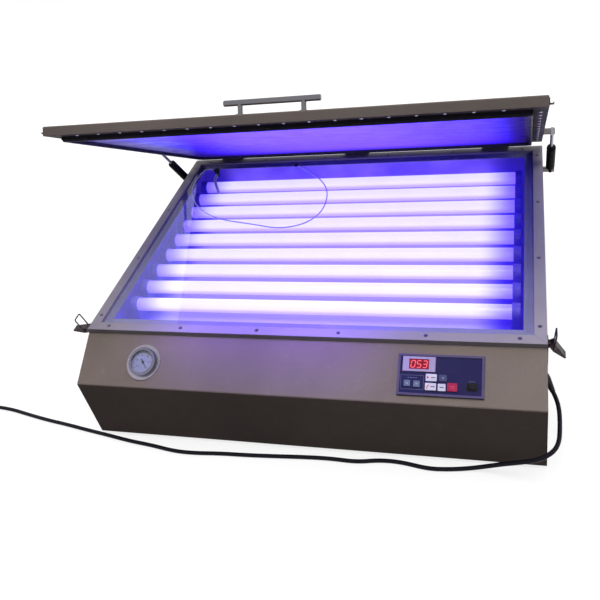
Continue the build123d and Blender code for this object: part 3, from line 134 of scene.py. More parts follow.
def make_piece(
    name: str,
    points: Sequence[Vector],
    faces: Iterable[Sequence[int]],
    finish: "Finish",
    body: str,
    sharp_angle: float = 0.6,
) -> bpy.types.Object:
    """Makes a mesh piece, dresses it and lets it ride on a body.

    Args:
        name: The piece's name.
        points: Its corners in row-frame metres.
        faces: Its faces as corner numbers.
        finish: Its finish.
        body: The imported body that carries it.
        sharp_angle: Edges that turn more than this stay crisp, in radians.

    Returns:
        The new object.
    """
    mesh = bpy.data.meshes.new(name)
    mesh.from_pydata([tuple(p) for p in points], [], [tuple(f) for f in faces])
    shape = bmesh.new()
    shape.from_mesh(mesh)
    bmesh.ops.recalc_face_normals(shape, faces=shape.faces)
    shape.to_mesh(mesh)
    shape.free()
    for polygon in mesh.polygons:
        polygon.use_smooth = True
    mesh.set_sharp_from_angle(angle=sharp_angle)
    piece = add_object(name, mesh)
    mesh.materials.append(finish.material())
    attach(piece, body)
    log.info("%s: %d corners on %s", name, len(mesh.vertices), body)
    return piece


class Solid:
    """Gathers corners and faces of one piece that is made of several closed shells."""

    def __init__(self) -> None:
        """Starts an empty piece."""
        self.points: list[Vector] = []
        self.faces: list[tuple[int, ...]] = []

    def prism(self, outline: Sequence[Flat], low: float, high: float, placing: Placing) -> None:
        """Adds a flat shape with a thickness, between two heights."""
        self.rings([[placing(x, y, height) for x, y in outline] for height in (low, high)])

    def rings(self, rings: Sequence[Sequence[Vector]], closed: bool = False) -> None:
        """Adds a skin over rings of equal count, capped at both ends unless the rings close on themselves.

        Args:
            rings: The rings in order.
            closed: Whether the last ring joins the first.
        """
        start, count = len(self.points), len(rings[0])
        for ring in rings:
            self.points += list(ring)
        steps = len(rings) if closed else len(rings) - 1
        for k in range(steps):
            a, b = start + k * count, start + (k + 1) % len(rings) * count
            for i in range(count):
                j = (i + 1) % count
                self.faces.append((a + i, a + j, b + j, b + i))
        if not closed:
            self.faces.append(tuple(start + i for i in reversed(range(count))))
            self.faces.append(tuple(start + (len(rings) - 1) * count + i for i in range(count)))

    def piece(self, name: str, finish: "Finish", body: str, sharp_angle: float = 0.6) -> bpy.types.Object:
        """Makes the gathered shells into one piece."""
        return make_piece(name, self.points, self.faces, finish, body, sharp_angle)


def circle(radius: float, count: int, middle: Flat = (0.0, 0.0)) -> list[Flat]:
    """Corners of a round shape."""
    turns = (2 * math.pi * i / count for i in range(count))
    return [(middle[0] + radius * math.cos(turn), middle[1] + radius * math.sin(turn)) for turn in turns]


def rectangle(x: float, y: float, width: float, height: float) -> list[Flat]:
    """Corners of an upright rectangle about its middle."""
    w, h = width / 2, height / 2
    return [(x - w, y - h), (x + w, y - h), (x + w, y + h), (x - w, y + h)]


def rounded_loop(half_x: float, half_y: float, corner: float, steps: int = 7) -> list[Flat]:
    """Draws a rounded rectangle about the origin, with the same count of corners whatever its size.

    Args:
        half_x: Half its width.
        half_y: Half its depth.
        corner: Radius of its corners.
        steps: Points on each corner.

    Returns:
        Its points in order.
    """
    loop: list[Flat] = []
    for quarter, (sx, sy) in enumerate(((1, 1), (-1, 1), (-1, -1), (1, -1))):
        x, y = sx * (half_x - corner), sy * (half_y - corner)
        for i in range(steps):
            turn = math.pi / 2 * (quarter + i / (steps - 1))
            loop.append((x + corner * math.cos(turn), y + corner * math.sin(turn)))
    return loop


# ---- Finishes -----------------------------------------------------------------------------------------

Socket = bpy.types.NodeSocket


def shade(colour: Colour, factor: float, lift: float = 0.0) -> Colour:
    """A colour made darker or paler, and never past full brightness."""
    return tuple(min(1.0, factor * part + lift) for part in colour)


class Graph:
    """Adds and joins the nodes of a material or a world.

    CLOUDS is the middle part of a noise pattern, which is stretched to its full range. EDGES is how far
    softening turns a normal, from a flat face to an edge.
    """

    CLOUDS = (0.3, 0.7)
    EDGES = (0.98, 0.72)

    def __init__(self, owner: bpy.types.Material | bpy.types.World) -> None:
        """Starts on the owner's own nodes."""
        owner.use_nodes = True
        self.tree = owner.node_tree

    @property
    def shader(self) -> bpy.types.Node:
        """A material's main shader."""
        return self.tree.nodes["Principled BSDF"]

    @cached_property
    def place(self) -> Socket:
        """The place on the unit in metres."""
        return self.add("ShaderNodeTexCoord").outputs["Object"]

    def add(
        self, kind: str, inputs: dict[str | int, object] | None = None, **options: object
    ) -> bpy.types.Node:
        """Adds one node.

        Args:
            kind: The node's type.
            inputs: What its inputs get, by name or by number.
            **options: The node's own options.

        Returns:
            The node.
        """
        node = self.tree.nodes.new(kind)
        for key, value in options.items():
            setattr(node, key, value)
        for key, value in (inputs or {}).items():
            self.feed(node.inputs[key], value)
        return node

    def feed(self, socket: Socket, value: object) -> None:
        """Gives a socket a link or a plain value.

        Args:
            socket: The input to feed.
            value: A node's output, a number, a vector or a colour.
        """
        if isinstance(value, bpy.types.NodeSocket):
            self.tree.links.new(value, socket)
        elif socket.type == "RGBA":
            socket.default_value = (*value, 1.0)
        else:
            socket.default_value = value

    def set(self, **values: object) -> None:
        """Sets inputs of the main shader; an underscore stands for a space."""
        for key, value in values.items():
            self.feed(self.shader.inputs[key.replace("_", " ")], value)

    def stretched(self, scale: Point) -> Socket:
        """The place, stretched along each axis."""
        return self.add("ShaderNodeMapping", {"Vector": self.place, "Scale": scale}).outputs["Vector"]

    def noise(
        self, scale: float, detail: float = 2.0, roughness: float = 0.5, at: Socket | None = None
    ) -> Socket:
        """A cloudy pattern from 0 to 1."""
        inputs = {"Vector": at or self.place, "Scale": scale, "Detail": detail, "Roughness": roughness}
        return self.add("ShaderNodeTexNoise", inputs).outputs["Fac"]

    def span(
        self,
        value: Socket,
        low: float,
        high: float,
        to_low: float = 0.0,
        to_high: float = 1.0,
        way: str = "SMOOTHSTEP",
    ) -> Socket:
        """Maps one range of a value onto another without going past its ends."""
        inputs = {"Value": value, "From Min": low, "From Max": high, "To Min": to_low, "To Max": to_high}
        return self.add("ShaderNodeMapRange", inputs, interpolation_type=way).outputs["Result"]

    def within(self, value: Socket, low: float, high: float, reach: float) -> Socket:
        """1 between two limits, falling to 0 at them over a reach."""
        rising, falling = self.span(value, low, low + reach), self.span(value, high, high - reach)
        return self.maths("MULTIPLY", rising, falling)

    def smudge(self, scale: float, low: float, high: float, detail: float = 3.0) -> None:
        """Makes the roughness uneven between two values."""
        self.set(Roughness=self.span(self.noise(scale, detail), *self.CLOUDS, low, high))

    def maths(self, operation: str, first: object, second: object) -> Socket:
        """One sum of two values."""
        return self.add("ShaderNodeMath", {0: first, 1: second}, operation=operation).outputs["Value"]

    def mix(self, share: Socket, first: object, second: object) -> Socket:
        """Mixes two colours."""
        return self.add("ShaderNodeMix", {0: share, 6: first, 7: second}, data_type="RGBA").outputs[2]

    def show(self, share: Socket, first: Socket, second: Socket) -> None:
        """Shows two shaders on the surface, mixed by a share."""
        mixed = self.add("ShaderNodeMixShader", {0: share, 1: first, 2: second})
        self.feed(self.tree.nodes["Material Output"].inputs["Surface"], mixed.outputs[0])

    def seen(self) -> Socket:
        """Tells who looks at the surface.

        Returns:
            1 where it is the camera, a mirror or glass, and otherwise 0.
        """
        path = self.add("ShaderNodeLightPath").outputs
        looked_at = self.maths("MAXIMUM", path["Is Camera Ray"], path["Is Glossy Ray"])
        return self.maths("MAXIMUM", looked_at, path["Is Transmission Ray"])

    def parts(self, vector: Socket) -> tuple[Socket, ...]:
        """A vector's three parts."""
        return tuple(self.add("ShaderNodeSeparateXYZ", {0: vector}).outputs)

    def facing(self) -> Socket:
        """The surface's own normal."""
        return self.add("ShaderNodeNewGeometry").outputs["Normal"]

    def edges(self, radius: float) -> tuple[Socket, Socket]:
        """Softens edges.

        Args:
            radius: How far the softening reaches, in metres.

        Returns:
            The softened normal, and a share that is 1 right on an edge.
        """
        soft = self.add("ShaderNodeBevel", {"Radius": radius}, samples=4).outputs["Normal"]
        dot = self.add("ShaderNodeVectorMath", {0: soft, 1: self.facing()}, operation="DOT_PRODUCT")
        return soft, self.span(dot.outputs["Value"], *self.EDGES)

    def bump(self, height: Socket, strength: float, distance: float, normal: Socket | None = None) -> None:
        """Raises the surface by a pattern.

        Args:
            height: The pattern.
            strength: How much of it shows.
            distance: Its full height in metres.
            normal: A softened normal to lay it over.
        """
        inputs = {"Height": height, "Strength": strength, "Distance": distance}
        if normal is not None:
            inputs["Normal"] = normal
        self.set(Normal=self.add("ShaderNodeBump", inputs).outputs["Normal"])


@dataclass(frozen=True)
class Finish:
    """The base of every finish: it is made once, and then shared."""

    name: str

    def material(self) -> bpy.types.Material:
        """Makes the finish's material on first use.

        Returns:
            The material.
        """
        known = bpy.data.materials.get(self.name)
        if known is None:
            known = bpy.data.materials.new(self.name)
            self.dress(Graph(known))
        return known

    def dress(self, graph: Graph) -> None:
        """Fills the graph; each finish does this in its own way."""
        raise NotImplementedError


@dataclass(frozen=True)
class PowderCoat(Finish):
    """Baked powder paint on sheet steel, with orange peel, faint cloudiness, dust and rubbed edges."""

    colour: Colour
    dust: Colour = (0.42, 0.38, 0.34)
    rubbed: Colour = (0.30, 0.29, 0.28)
    roughness: float = 0.46
    gloss: float = 0.01
    peel: float = 0.14
    edge_radius: float = 0.0016

    def dress(self, graph: Graph) -> None:
        """Fills the graph.

        Args:
            graph: The finish's own nodes.
        """
        deep, lifted = shade(self.colour, 0.80), shade(self.colour, 1.10)
        clouds = graph.span(graph.noise(2.6, 4.0, 0.55), 0.32, 0.68)
        colour = graph.mix(clouds, deep, lifted)
        grain = graph.noise(420.0, 2.0)
        colour = graph.mix(graph.span(grain, 0.35, 0.75, 0.0, 0.35), colour, deep)
        dusty = graph.span(graph.noise(34.0, 5.0, 0.7), 0.55, 0.80, 0.0, 0.10)
        colour = graph.mix(dusty, colour, self.dust)
        normal, edge = graph.edges(self.edge_radius)
        rub = graph.maths("MULTIPLY", edge, graph.span(graph.noise(60.0, 4.0, 0.65), 0.44, 0.62, 0.0, 0.75))
        colour = graph.mix(rub, colour, self.rubbed)
        graph.set(Base_Color=colour)
        graph.set(Specular_IOR_Level=self.gloss)
        graph.smudge(11.0, self.roughness - 0.07, self.roughness + 0.09)
        graph.bump(graph.noise(760.0, 2.0, 0.6), self.peel, 0.0005, normal)


class Lay(Enum):
    """Which way a metal's fine lines run."""

    ACROSS = (14.0, 900.0, 900.0)
    NONE = (160.0, 160.0, 160.0)


@dataclass(frozen=True)
class Metal(Finish):
    """Bare or plated metal with drawn lines, stains and bright edges."""

    colour: Colour
    roughness: float = 0.3
    lay: Lay = Lay.NONE
    stain: Colour = (0.20, 0.17, 0.15)
    stained: float = 0.25
    edge_radius: float = 0.0006

    def dress(self, graph: Graph) -> None:
        """Fills the graph.

        Args:
            graph: The finish's own nodes.
        """
        lines = graph.noise(1.0, 3.0, 0.6, graph.stretched(self.lay.value))
        cloud = graph.span(graph.noise(48.0, 5.0, 0.65), 0.42, 0.78, 0.0, self.stained)
        colour = graph.mix(cloud, self.colour, self.stain)
        normal, edge = graph.edges(self.edge_radius)
        bright = shade(self.colour, 1.25)
        graph.set(Base_Color=graph.mix(graph.maths("MULTIPLY", edge, 0.6), colour, bright), Metallic=1.0)
        rough = graph.span(lines, 0.25, 0.75, self.roughness * 0.75, self.roughness * 1.35)
        graph.set(Roughness=rough)
        graph.bump(lines, 0.08, 0.0002, normal)


@dataclass(frozen=True)
class Moulded(Finish):
    """Moulded plastic or rubber with a fine spark grain, faint streaks and softened edges."""

    colour: Colour
    roughness: float = 0.4
    grain: float = 0.12
    grain_scale: float = 900.0
    gloss: float = 0.22
    haze: float = 0.25
    edge_radius: float = 0.0004

    def dress(self, graph: Graph) -> None:
        """Fills the graph.

        Args:
            graph: The finish's own nodes.
        """
        pale = shade(self.colour, 1.15, 0.012)
        cloud = graph.span(graph.noise(26.0, 4.0, 0.6), 0.4, 0.7, 0.0, self.haze * 2)
        normal, edge = graph.edges(self.edge_radius)
        colour = graph.mix(cloud, self.colour, pale)
        graph.set(Base_Color=graph.mix(graph.maths("MULTIPLY", edge, 0.35), colour, pale))
        graph.smudge(70.0, self.roughness * 0.85, min(1.0, self.roughness * 1.2))
        graph.set(Specular_IOR_Level=self.gloss)
        graph.bump(graph.noise(self.grain_scale, 2.0), self.grain, 0.0003, normal)


@dataclass(frozen=True)
class FloatGlass(Finish):
    """Clear glass with a faint tint and light wiping marks."""

    tint: Colour = (0.93, 0.96, 0.97)

    def dress(self, graph: Graph) -> None:
        """Fills the graph.

        Args:
            graph: The finish's own nodes.
        """
        wiped = graph.span(graph.noise(5.0, 4.0, 0.6, graph.stretched((1.0, 4.0, 1.0))), 0.45, 0.8)
        smeared = shade(self.tint, 0.97)
        graph.set(Base_Color=graph.mix(wiped, self.tint, smeared), Transmission_Weight=1.0, IOR=1.45)
        graph.set(Roughness=graph.span(wiped, 0.0, 1.0, 0.0, 0.02))
        path = graph.add("ShaderNodeLightPath")
        light = graph.maths("MAXIMUM", path.outputs["Is Shadow Ray"], path.outputs["Is Diffuse Ray"])
        passing = graph.add("ShaderNodeBsdfTransparent", {"Color": self.tint})
        graph.show(light, graph.shader.outputs[0], passing.outputs[0])


@dataclass(frozen=True)
class LampGlass(Finish):
    """A lit lamp's phosphor, deep violet by its caps; its whiter glow along the top and violet underneath
    are painted light, set by which way the surface faces.
    """

    low_x: float
    high_x: float
    painted_top_glow: Colour = (0.52, 0.465, 1.0)
    side: Colour = (0.30, 0.22, 0.80)
    end: Colour = (0.13, 0.08, 0.70)
    strength: float = 1.9
    dim_length: float = 0.085

    def dress(self, graph: Graph) -> None:
        """Fills the graph.

        Args:
            graph: The finish's own nodes.
        """
        x, _, _ = graph.parts(graph.place)
        _, _, up = graph.parts(graph.facing())
        # Painted highlight: the glow is whiter on faces turned up and more violet on faces turned down.
        colour = graph.mix(graph.span(up, -0.35, 0.42), self.side, self.painted_top_glow)
        lit = graph.within(x, self.low_x, self.high_x, self.dim_length)
        uneven = graph.span(graph.noise(9.0, 2.0), 0.2, 0.8, 0.94, 1.06)
        colour = graph.mix(graph.maths("MULTIPLY", lit, uneven), self.end, colour)
        graph.set(Base_Color=(0.30, 0.29, 0.33), Emission_Color=colour, Emission_Strength=self.strength)
        graph.smudge(300.0, 0.16, 0.24, 2.0)


@dataclass(frozen=True)
class LampTrayPaintedLight(Finish):
    """White reflector enamel given the lamps' violet light as painted light and a painted glow, palest on
    the tray's floor, with painted shade beyond the lamps' ends.
    """

    # colour, deep and floor are painted violet light on white enamel; ends is painted shade beyond the
    # lamps.
    colour: Colour = (0.33, 0.20, 1.0)
    deep: Colour = (0.17, 0.09, 0.80)
    floor: Colour = (0.42, 0.36, 0.66)
    ends: Colour = (0.065, 0.032, 0.52)
    low_x: float = 0.0
    high_x: float = 0.0
    end_gap: float = 0.01
    dim_length: float = 0.08
    floor_z: float = 0.160
    strength: float = 0.36

    def dress(self, graph: Graph) -> None:
        """Fills the graph.

        Args:
            graph: The finish's own nodes.
        """
        x, _, z = graph.parts(graph.place)
        cloud = graph.span(graph.noise(7.0, 3.0), 0.3, 0.7)
        walls = graph.mix(cloud, self.deep, self.colour)
        colour = graph.mix(graph.span(z, self.floor_z, self.floor_z + 0.012), self.floor, walls)
        # Painted shade: the violet falls to the ends colour beyond the lamps' lit length.
        lit = graph.within(x, self.low_x + self.end_gap, self.high_x - self.end_gap, self.dim_length)
        colour = graph.mix(lit, self.ends, colour)
        # The emission is a painted glow: the enamel is no lamp.
        graph.set(Base_Color=colour, Emission_Color=colour, Emission_Strength=self.strength)
        graph.set(Specular_IOR_Level=0.3)
        graph.smudge(40.0, 0.28, 0.42)
        normal, _ = graph.edges(0.0012)
        graph.bump(graph.noise(600.0), 0.08, 0.0004, normal)


@dataclass(frozen=True)
class BlanketPaintedGlow(Finish):
    """Glossy black rubber sheet with soft ripples, given painted violet light and a painted glow that fade
    towards the rim.
    """

    # middle, glow, bright and strength are painted light and glow from the lamps below; rim is the rubber's
    # own near-black.
    middle: Colour = (0.10, 0.045, 0.50)
    rim: Colour = (0.005, 0.001, 0.06)
    glow: Colour = (0.032, 0.006, 1.0)
    bright: Colour = (0.086, 0.034, 1.0)
    strength: float = 2.4
    half_x: float = 0.465
    rear_z: float = 0.245
    reach: float = 0.10
    painted_left_fade: float = 0.32
    painted_pool_from: Flat = (-0.38, 0.42)
    painted_pool_full: Flat = (-0.02, 0.08)

    def dress(self, graph: Graph) -> None:
        """Fills the graph.

        Args:
            graph: The finish's own nodes.
        """
        x, _, z = graph.parts(graph.place)
        # Painted shade: the painted light fades towards the sides and rear, over a longer reach on the left.
        left = graph.span(x, -self.half_x, -self.half_x + self.painted_left_fade)
        right = graph.span(x, self.half_x, self.half_x - self.reach)
        rear = graph.span(z, self.rear_z, self.rear_z + self.reach)
        painted_light_share = graph.maths("MULTIPLY", graph.maths("MULTIPLY", left, right), rear)
        cloud = graph.span(graph.noise(3.4, 2.0, 0.4), 0.25, 0.75, 0.82, 1.0)
        share = graph.maths("MULTIPLY", painted_light_share, cloud)
        # The violet base colour is painted light on the black rubber.
        graph.set(Base_Color=graph.mix(share, self.rim, self.middle))
        # A painted pool of paler violet light about the middle.
        painted_pool_left, painted_pool_right = (
            graph.span(x, start, full) for start, full in zip(self.painted_pool_from, self.painted_pool_full)
        )
        glow = graph.mix(graph.maths("MULTIPLY", painted_pool_left, painted_pool_right), self.glow, self.bright)
        # The emission is a painted glow: the rubber is no lamp.
        graph.set(Emission_Color=graph.mix(share, self.rim, glow), Emission_Strength=self.strength)
        graph.smudge(22.0, 0.36, 0.48)
        graph.set(Specular_IOR_Level=0.10)
        graph.bump(graph.noise(420.0, 2.0), 0.05, 0.0004)


@dataclass(frozen=True)
class SegmentLight(Finish):
    """A lit display segment behind its red filter, or an unlit segment or the filter given a faint painted
    glow.
    """

    colour: Colour
    strength: float

    def dress(self, graph: Graph) -> None:
        """Fills the graph.

        Args:
            graph: The finish's own nodes.
        """
        uneven = graph.span(graph.noise(900.0, 2.0), 0.2, 0.8)
        bright = shade(self.colour, 1.1)
        graph.set(Base_Color=(0.10, 0.01, 0.012), Emission_Color=graph.mix(uneven, self.colour, bright))
        graph.set(Emission_Strength=self.strength, Roughness=graph.span(uneven, 0.0, 1.0, 0.35, 0.45))
        graph.set(Specular_IOR_Level=0.1)


@dataclass(frozen=True)
class Print(Finish):
    """Screen-printed ink, slightly broken at small scale."""

    colour: Colour

    def dress(self, graph: Graph) -> None:
        """Fills the graph.

        Args:
            graph: The finish's own nodes.
        """
        thin = shade(self.colour, 0.82)
        graph.set(Base_Color=graph.mix(graph.span(graph.noise(1400.0, 3.0), 0.35, 0.6), thin, self.colour))
        graph.set(Specular_IOR_Level=0.15)
        graph.smudge(500.0, 0.42, 0.58, 2.0)


@dataclass(frozen=True)
class Sheath(Finish):
    """Extruded flexible cord sheath with faint draw marks, scuffs and dust."""

    colour: Colour
    pale: Colour
    roughness: float = 0.38

    def dress(self, graph: Graph) -> None:
        """Fills the graph.

        Args:
            graph: The finish's own nodes.
        """
        scuffs = graph.span(graph.noise(85.0, 5.0, 0.7), 0.56, 0.78, 0.0, 0.5)
        graph.set(Base_Color=graph.mix(scuffs, self.colour, self.pale))
        graph.set(Specular_IOR_Level=0.12)
        graph.smudge(40.0, self.roughness - 0.08, self.roughness + 0.12)
        graph.bump(graph.noise(700.0, 2.0), 0.10, 0.0003)


LAMP_LOW, LAMP_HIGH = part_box("uv_tubes")
CABINET_PAINT = PowderCoat("cabinet powder coat", (0.178, 0.146, 0.130))
# The lid's paint is the cabinet's, drawn darker: the darkness is painted shade.
LID_PAINT_SHADED = PowderCoat("lid powder coat darkened as painted shade", (0.128, 0.108, 0.100))
DECK_PAINT = PowderCoat("deck strip enamel", (0.225, 0.205, 0.225), roughness=0.40, gloss=0.1, peel=0.08)
# The ledge's blue-violet cast is painted light from the lamps over grey paint.
LEDGE_PAINT_VIOLET_LIT = PowderCoat("ledge paint with painted violet light", (0.22, 0.20, 0.30), roughness=0.44)
FRAME_PAINT = PowderCoat("blanket frame black", (0.012, 0.010, 0.022), dust=(0.03, 0.03, 0.04), gloss=0.1)
BLACK_PAINT = PowderCoat(
    "spring cylinder black", (0.012, 0.012, 0.013), dust=(0.05, 0.05, 0.05), roughness=0.30
)
PUMP_PAINT = PowderCoat("pump casting paint", (0.055, 0.065, 0.08), roughness=0.42)
BALLAST_PAINT = PowderCoat("ballast can paint", (0.60, 0.60, 0.62), roughness=0.4)
HANDLE_METAL = Metal("satin handle bar", (0.175, 0.168, 0.190), 0.34, Lay.ACROSS, stained=0.3)
CHROME = Metal("gauge bezel plate", (0.190, 0.180, 0.250), 0.22, stained=0.2)
FLANGE_METAL = Metal("gauge flange plate", (0.340, 0.320, 0.395), 0.30, stained=0.3)
ROD_CHROME = Metal("hard chrome rod", (0.30, 0.29, 0.32), 0.18, stained=0.1)
ZINC = Metal("zinc plate", (0.20, 0.18, 0.18), 0.36, stained=0.45)
LATCH_STEEL = Metal("dull latch steel", (0.040, 0.028, 0.034), 0.40, stained=0.5)
SCREW_STEEL = Metal("clamp screw heads", (0.42, 0.40, 0.46), 0.34, stained=0.3)
DECK_SCREW_STEEL = Metal("deck screw heads", (0.15, 0.14, 0.17), 0.36, stained=0.4)
# Aluminium caps, coloured violet as painted light from the lamps.
CAP_METAL_PAINTED_VIOLET = Metal("lamp cap aluminium painted violet light", (0.12, 0.08, 0.48), 0.34, stained=0.1)
RUBBER = Moulded("foot rubber", (0.018, 0.018, 0.019), 0.72, 0.25, 500.0)
RUBBER_BOOT = Moulded("boot rubber", (0.016, 0.016, 0.018), 0.5, 0.15, 700.0)
BEAD_RUBBER = Moulded("seal rubber", (0.014, 0.010, 0.030), 0.50, 0.18, 500.0, 0.12)
BLACK = Moulded("black moulding", (0.010, 0.010, 0.012), 0.36, gloss=0.15, haze=0.1)
# White lampholders, coloured violet as painted light from the lamps.
LAMPHOLDER_PAINTED_VIOLET = Moulded("lampholder white painted violet light", (0.17, 0.12, 0.66), 0.4)
WHITE_KEY = Moulded("white key", (0.50, 0.49, 0.62), 0.40)
GREY_KEY = Moulded("grey-blue key", (0.095, 0.125, 0.21), 0.42)
DARK_KEY = Moulded("dusk-blue key", (0.045, 0.048, 0.12), 0.42)
RED_KEY = Moulded("red key", (0.30, 0.012, 0.06), 0.40)
BEZEL = Moulded("lilac display surround", (0.30, 0.25, 0.43), 0.42)
FRAME = Moulded("panel frame lilac grey", (0.066, 0.052, 0.130), 0.40)
FACE = Moulded("blue panel overlay", (0.019, 0.018, 0.070), 0.45, 0.08, 1200.0, 0.05, 0.12)
BOARD = Moulded("circuit board", (0.03, 0.16, 0.06), 0.35)
DIAL = Moulded("printed dial", (0.23, 0.225, 0.36), 0.5, 0.05)
MAINS_SHEATH = Sheath("mains cord sheath", (0.006, 0.005, 0.010), (0.020, 0.018, 0.024))
BLEED_SHEATH = Sheath("bleed cord sheath", (0.52, 0.47, 0.66), (0.62, 0.58, 0.74), 0.3)
HOSE_SHEATH = Sheath("vacuum hose", (0.45, 0.45, 0.50), (0.6, 0.6, 0.62), 0.25)
LAMP = LampGlass("lit lamp glass", LAMP_LOW.x, LAMP_HIGH.x)
TRAY_PAINTED_LIGHT = LampTrayPaintedLight("lamp tray enamel painted violet light", low_x=LAMP_LOW.x, high_x=LAMP_HIGH.x)
GLASS = FloatGlass("float glass")
BLANKET_PAINTED_LIGHT = BlanketPaintedGlow("vacuum blanket rubber painted violet light")
LIT = SegmentLight("lit segment", (1.0, 0.13, 0.20), 1.2)
# Unlit segments and the filter are no lamps: their glow is painted light.
UNLIT_PAINTED_GLOW = SegmentLight("unlit segment painted glow", (0.14, 0.001, 0.012), 0.8)
FILTER_PAINTED_GLOW = SegmentLight("display filter painted glow", (0.16, 0.001, 0.016), 0.8)
DARK_INK = Print("dark ink", (0.03, 0.03, 0.05))
RED_INK = Print("red ink", (0.62, 0.03, 0.05))
PALE_INK = Print("pale ink", (0.16, 0.17, 0.30))
WHITE_INK = Print("white ink", (0.30, 0.32, 0.42))
PINK_INK = Print("faded ink", (0.50, 0.08, 0.14))

NODE_FINISHES: dict[Finish, tuple[str, ...]] = {
    CABINET_PAINT: ("side_panel_left", "side_panel_right", "front_console", "rear_panel", "base_tray"),
    LID_PAINT_SHADED: ("lid_shell",),
    DECK_PAINT: ("deck_rim",),
    LEDGE_PAINT_VIOLET_LIT: ("glass_ledge",),
    GLASS: ("glass_plate", "gauge_lens"),
    LAMP: ("uv_tubes",),
    TRAY_PAINTED_LIGHT: ("lamp_tray",),
    LAMPHOLDER_PAINTED_VIOLET: ("lamp_sockets",),
    CAP_METAL_PAINTED_VIOLET: ("tube_caps",),
    BALLAST_PAINT: ("ballasts",),
    PUMP_PAINT: ("vacuum_pump",),
    RUBBER: ("feet",),
    BLACK: ("vacuum_port", "mains_plug", "switch_housing", "power_rocker"),
    HANDLE_METAL: ("lid_handle",),
    FRAME: ("panel_frame",),
    FACE: ("panel_face",),
    BEZEL: ("led_display",),
    BOARD: ("timer_board",),
    FRAME_PAINT: ("blanket_frame",),
    FLANGE_METAL: ("gauge_case",),
    BLACK_PAINT: ("spring_cylinder_left", "spring_cylinder_right"),
    ROD_CHROME: ("spring_rod_left", "spring_rod_right"),
    CHROME: ("gauge_bezel",),
    DIAL: ("gauge_dial",),
    ZINC: ("hinge_body_leaves", "hinge_lid_leaves", "spring_studs", "spring_brackets"),
    LATCH_STEEL: (
        "latch_plates", "latch_keepers",
        "latch_lever_left", "latch_lever_right", "latch_bail_left", "latch_bail_right",
    ),
    GREY_KEY: ("key_time_up", "key_time_down"),
    WHITE_KEY: ("key_start", "key_stop", "key_vacuum"),
    DARK_KEY: ("key_light",),
    RED_KEY: ("key_reset",),
}


def dress_nodes() -> None:
    """Gives every carried node its finish."""
    for finish, names in NODE_FINISHES.items():
        for name in names:
            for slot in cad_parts[name].material_slots:
                slot.material = finish.material()
            log.info("%s: %s", name, finish.name)


# ---- Cords --------------------------------------------------------------------------------------------


@dataclass
class Cord:
    """A cord or hose on one smooth spline through its route.

    Attributes:
        name: The piece's name.
        route: The route's points in row-frame metres.
        radius: Half its thickness, in metres.
        finish: Its sheath.
        stands_for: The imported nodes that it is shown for.
    """

    name: str
    route: list[Vector]
    radius: float
    finish: Finish
    stands_for: tuple[str, ...]

    def build(self) -> bpy.types.Object:
        """Makes the cord and lets it ride on the cabinet.

        Returns:
            The cord.
        """
        line = bpy.data.curves.new(self.name, "CURVE")
        line.dimensions = "3D"
        line.resolution_u = 8
        line.bevel_depth = self.radius
        line.bevel_resolution = 5
        line.use_fill_caps = True
        spline = line.splines.new("NURBS")
        spline.points.add(len(self.route) - 1)
        for point, place in zip(spline.points, self.route):
            point.co = (*place, 1.0)
        spline.order_u = 3
        spline.use_endpoint_u = True
        line.materials.append(self.finish.material())
        cord = add_object(self.name, line)
        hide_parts(*self.stands_for)
        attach(cord, "cabinet")
        log.info("%s: %d route points", self.name, len(self.route))
        return cord


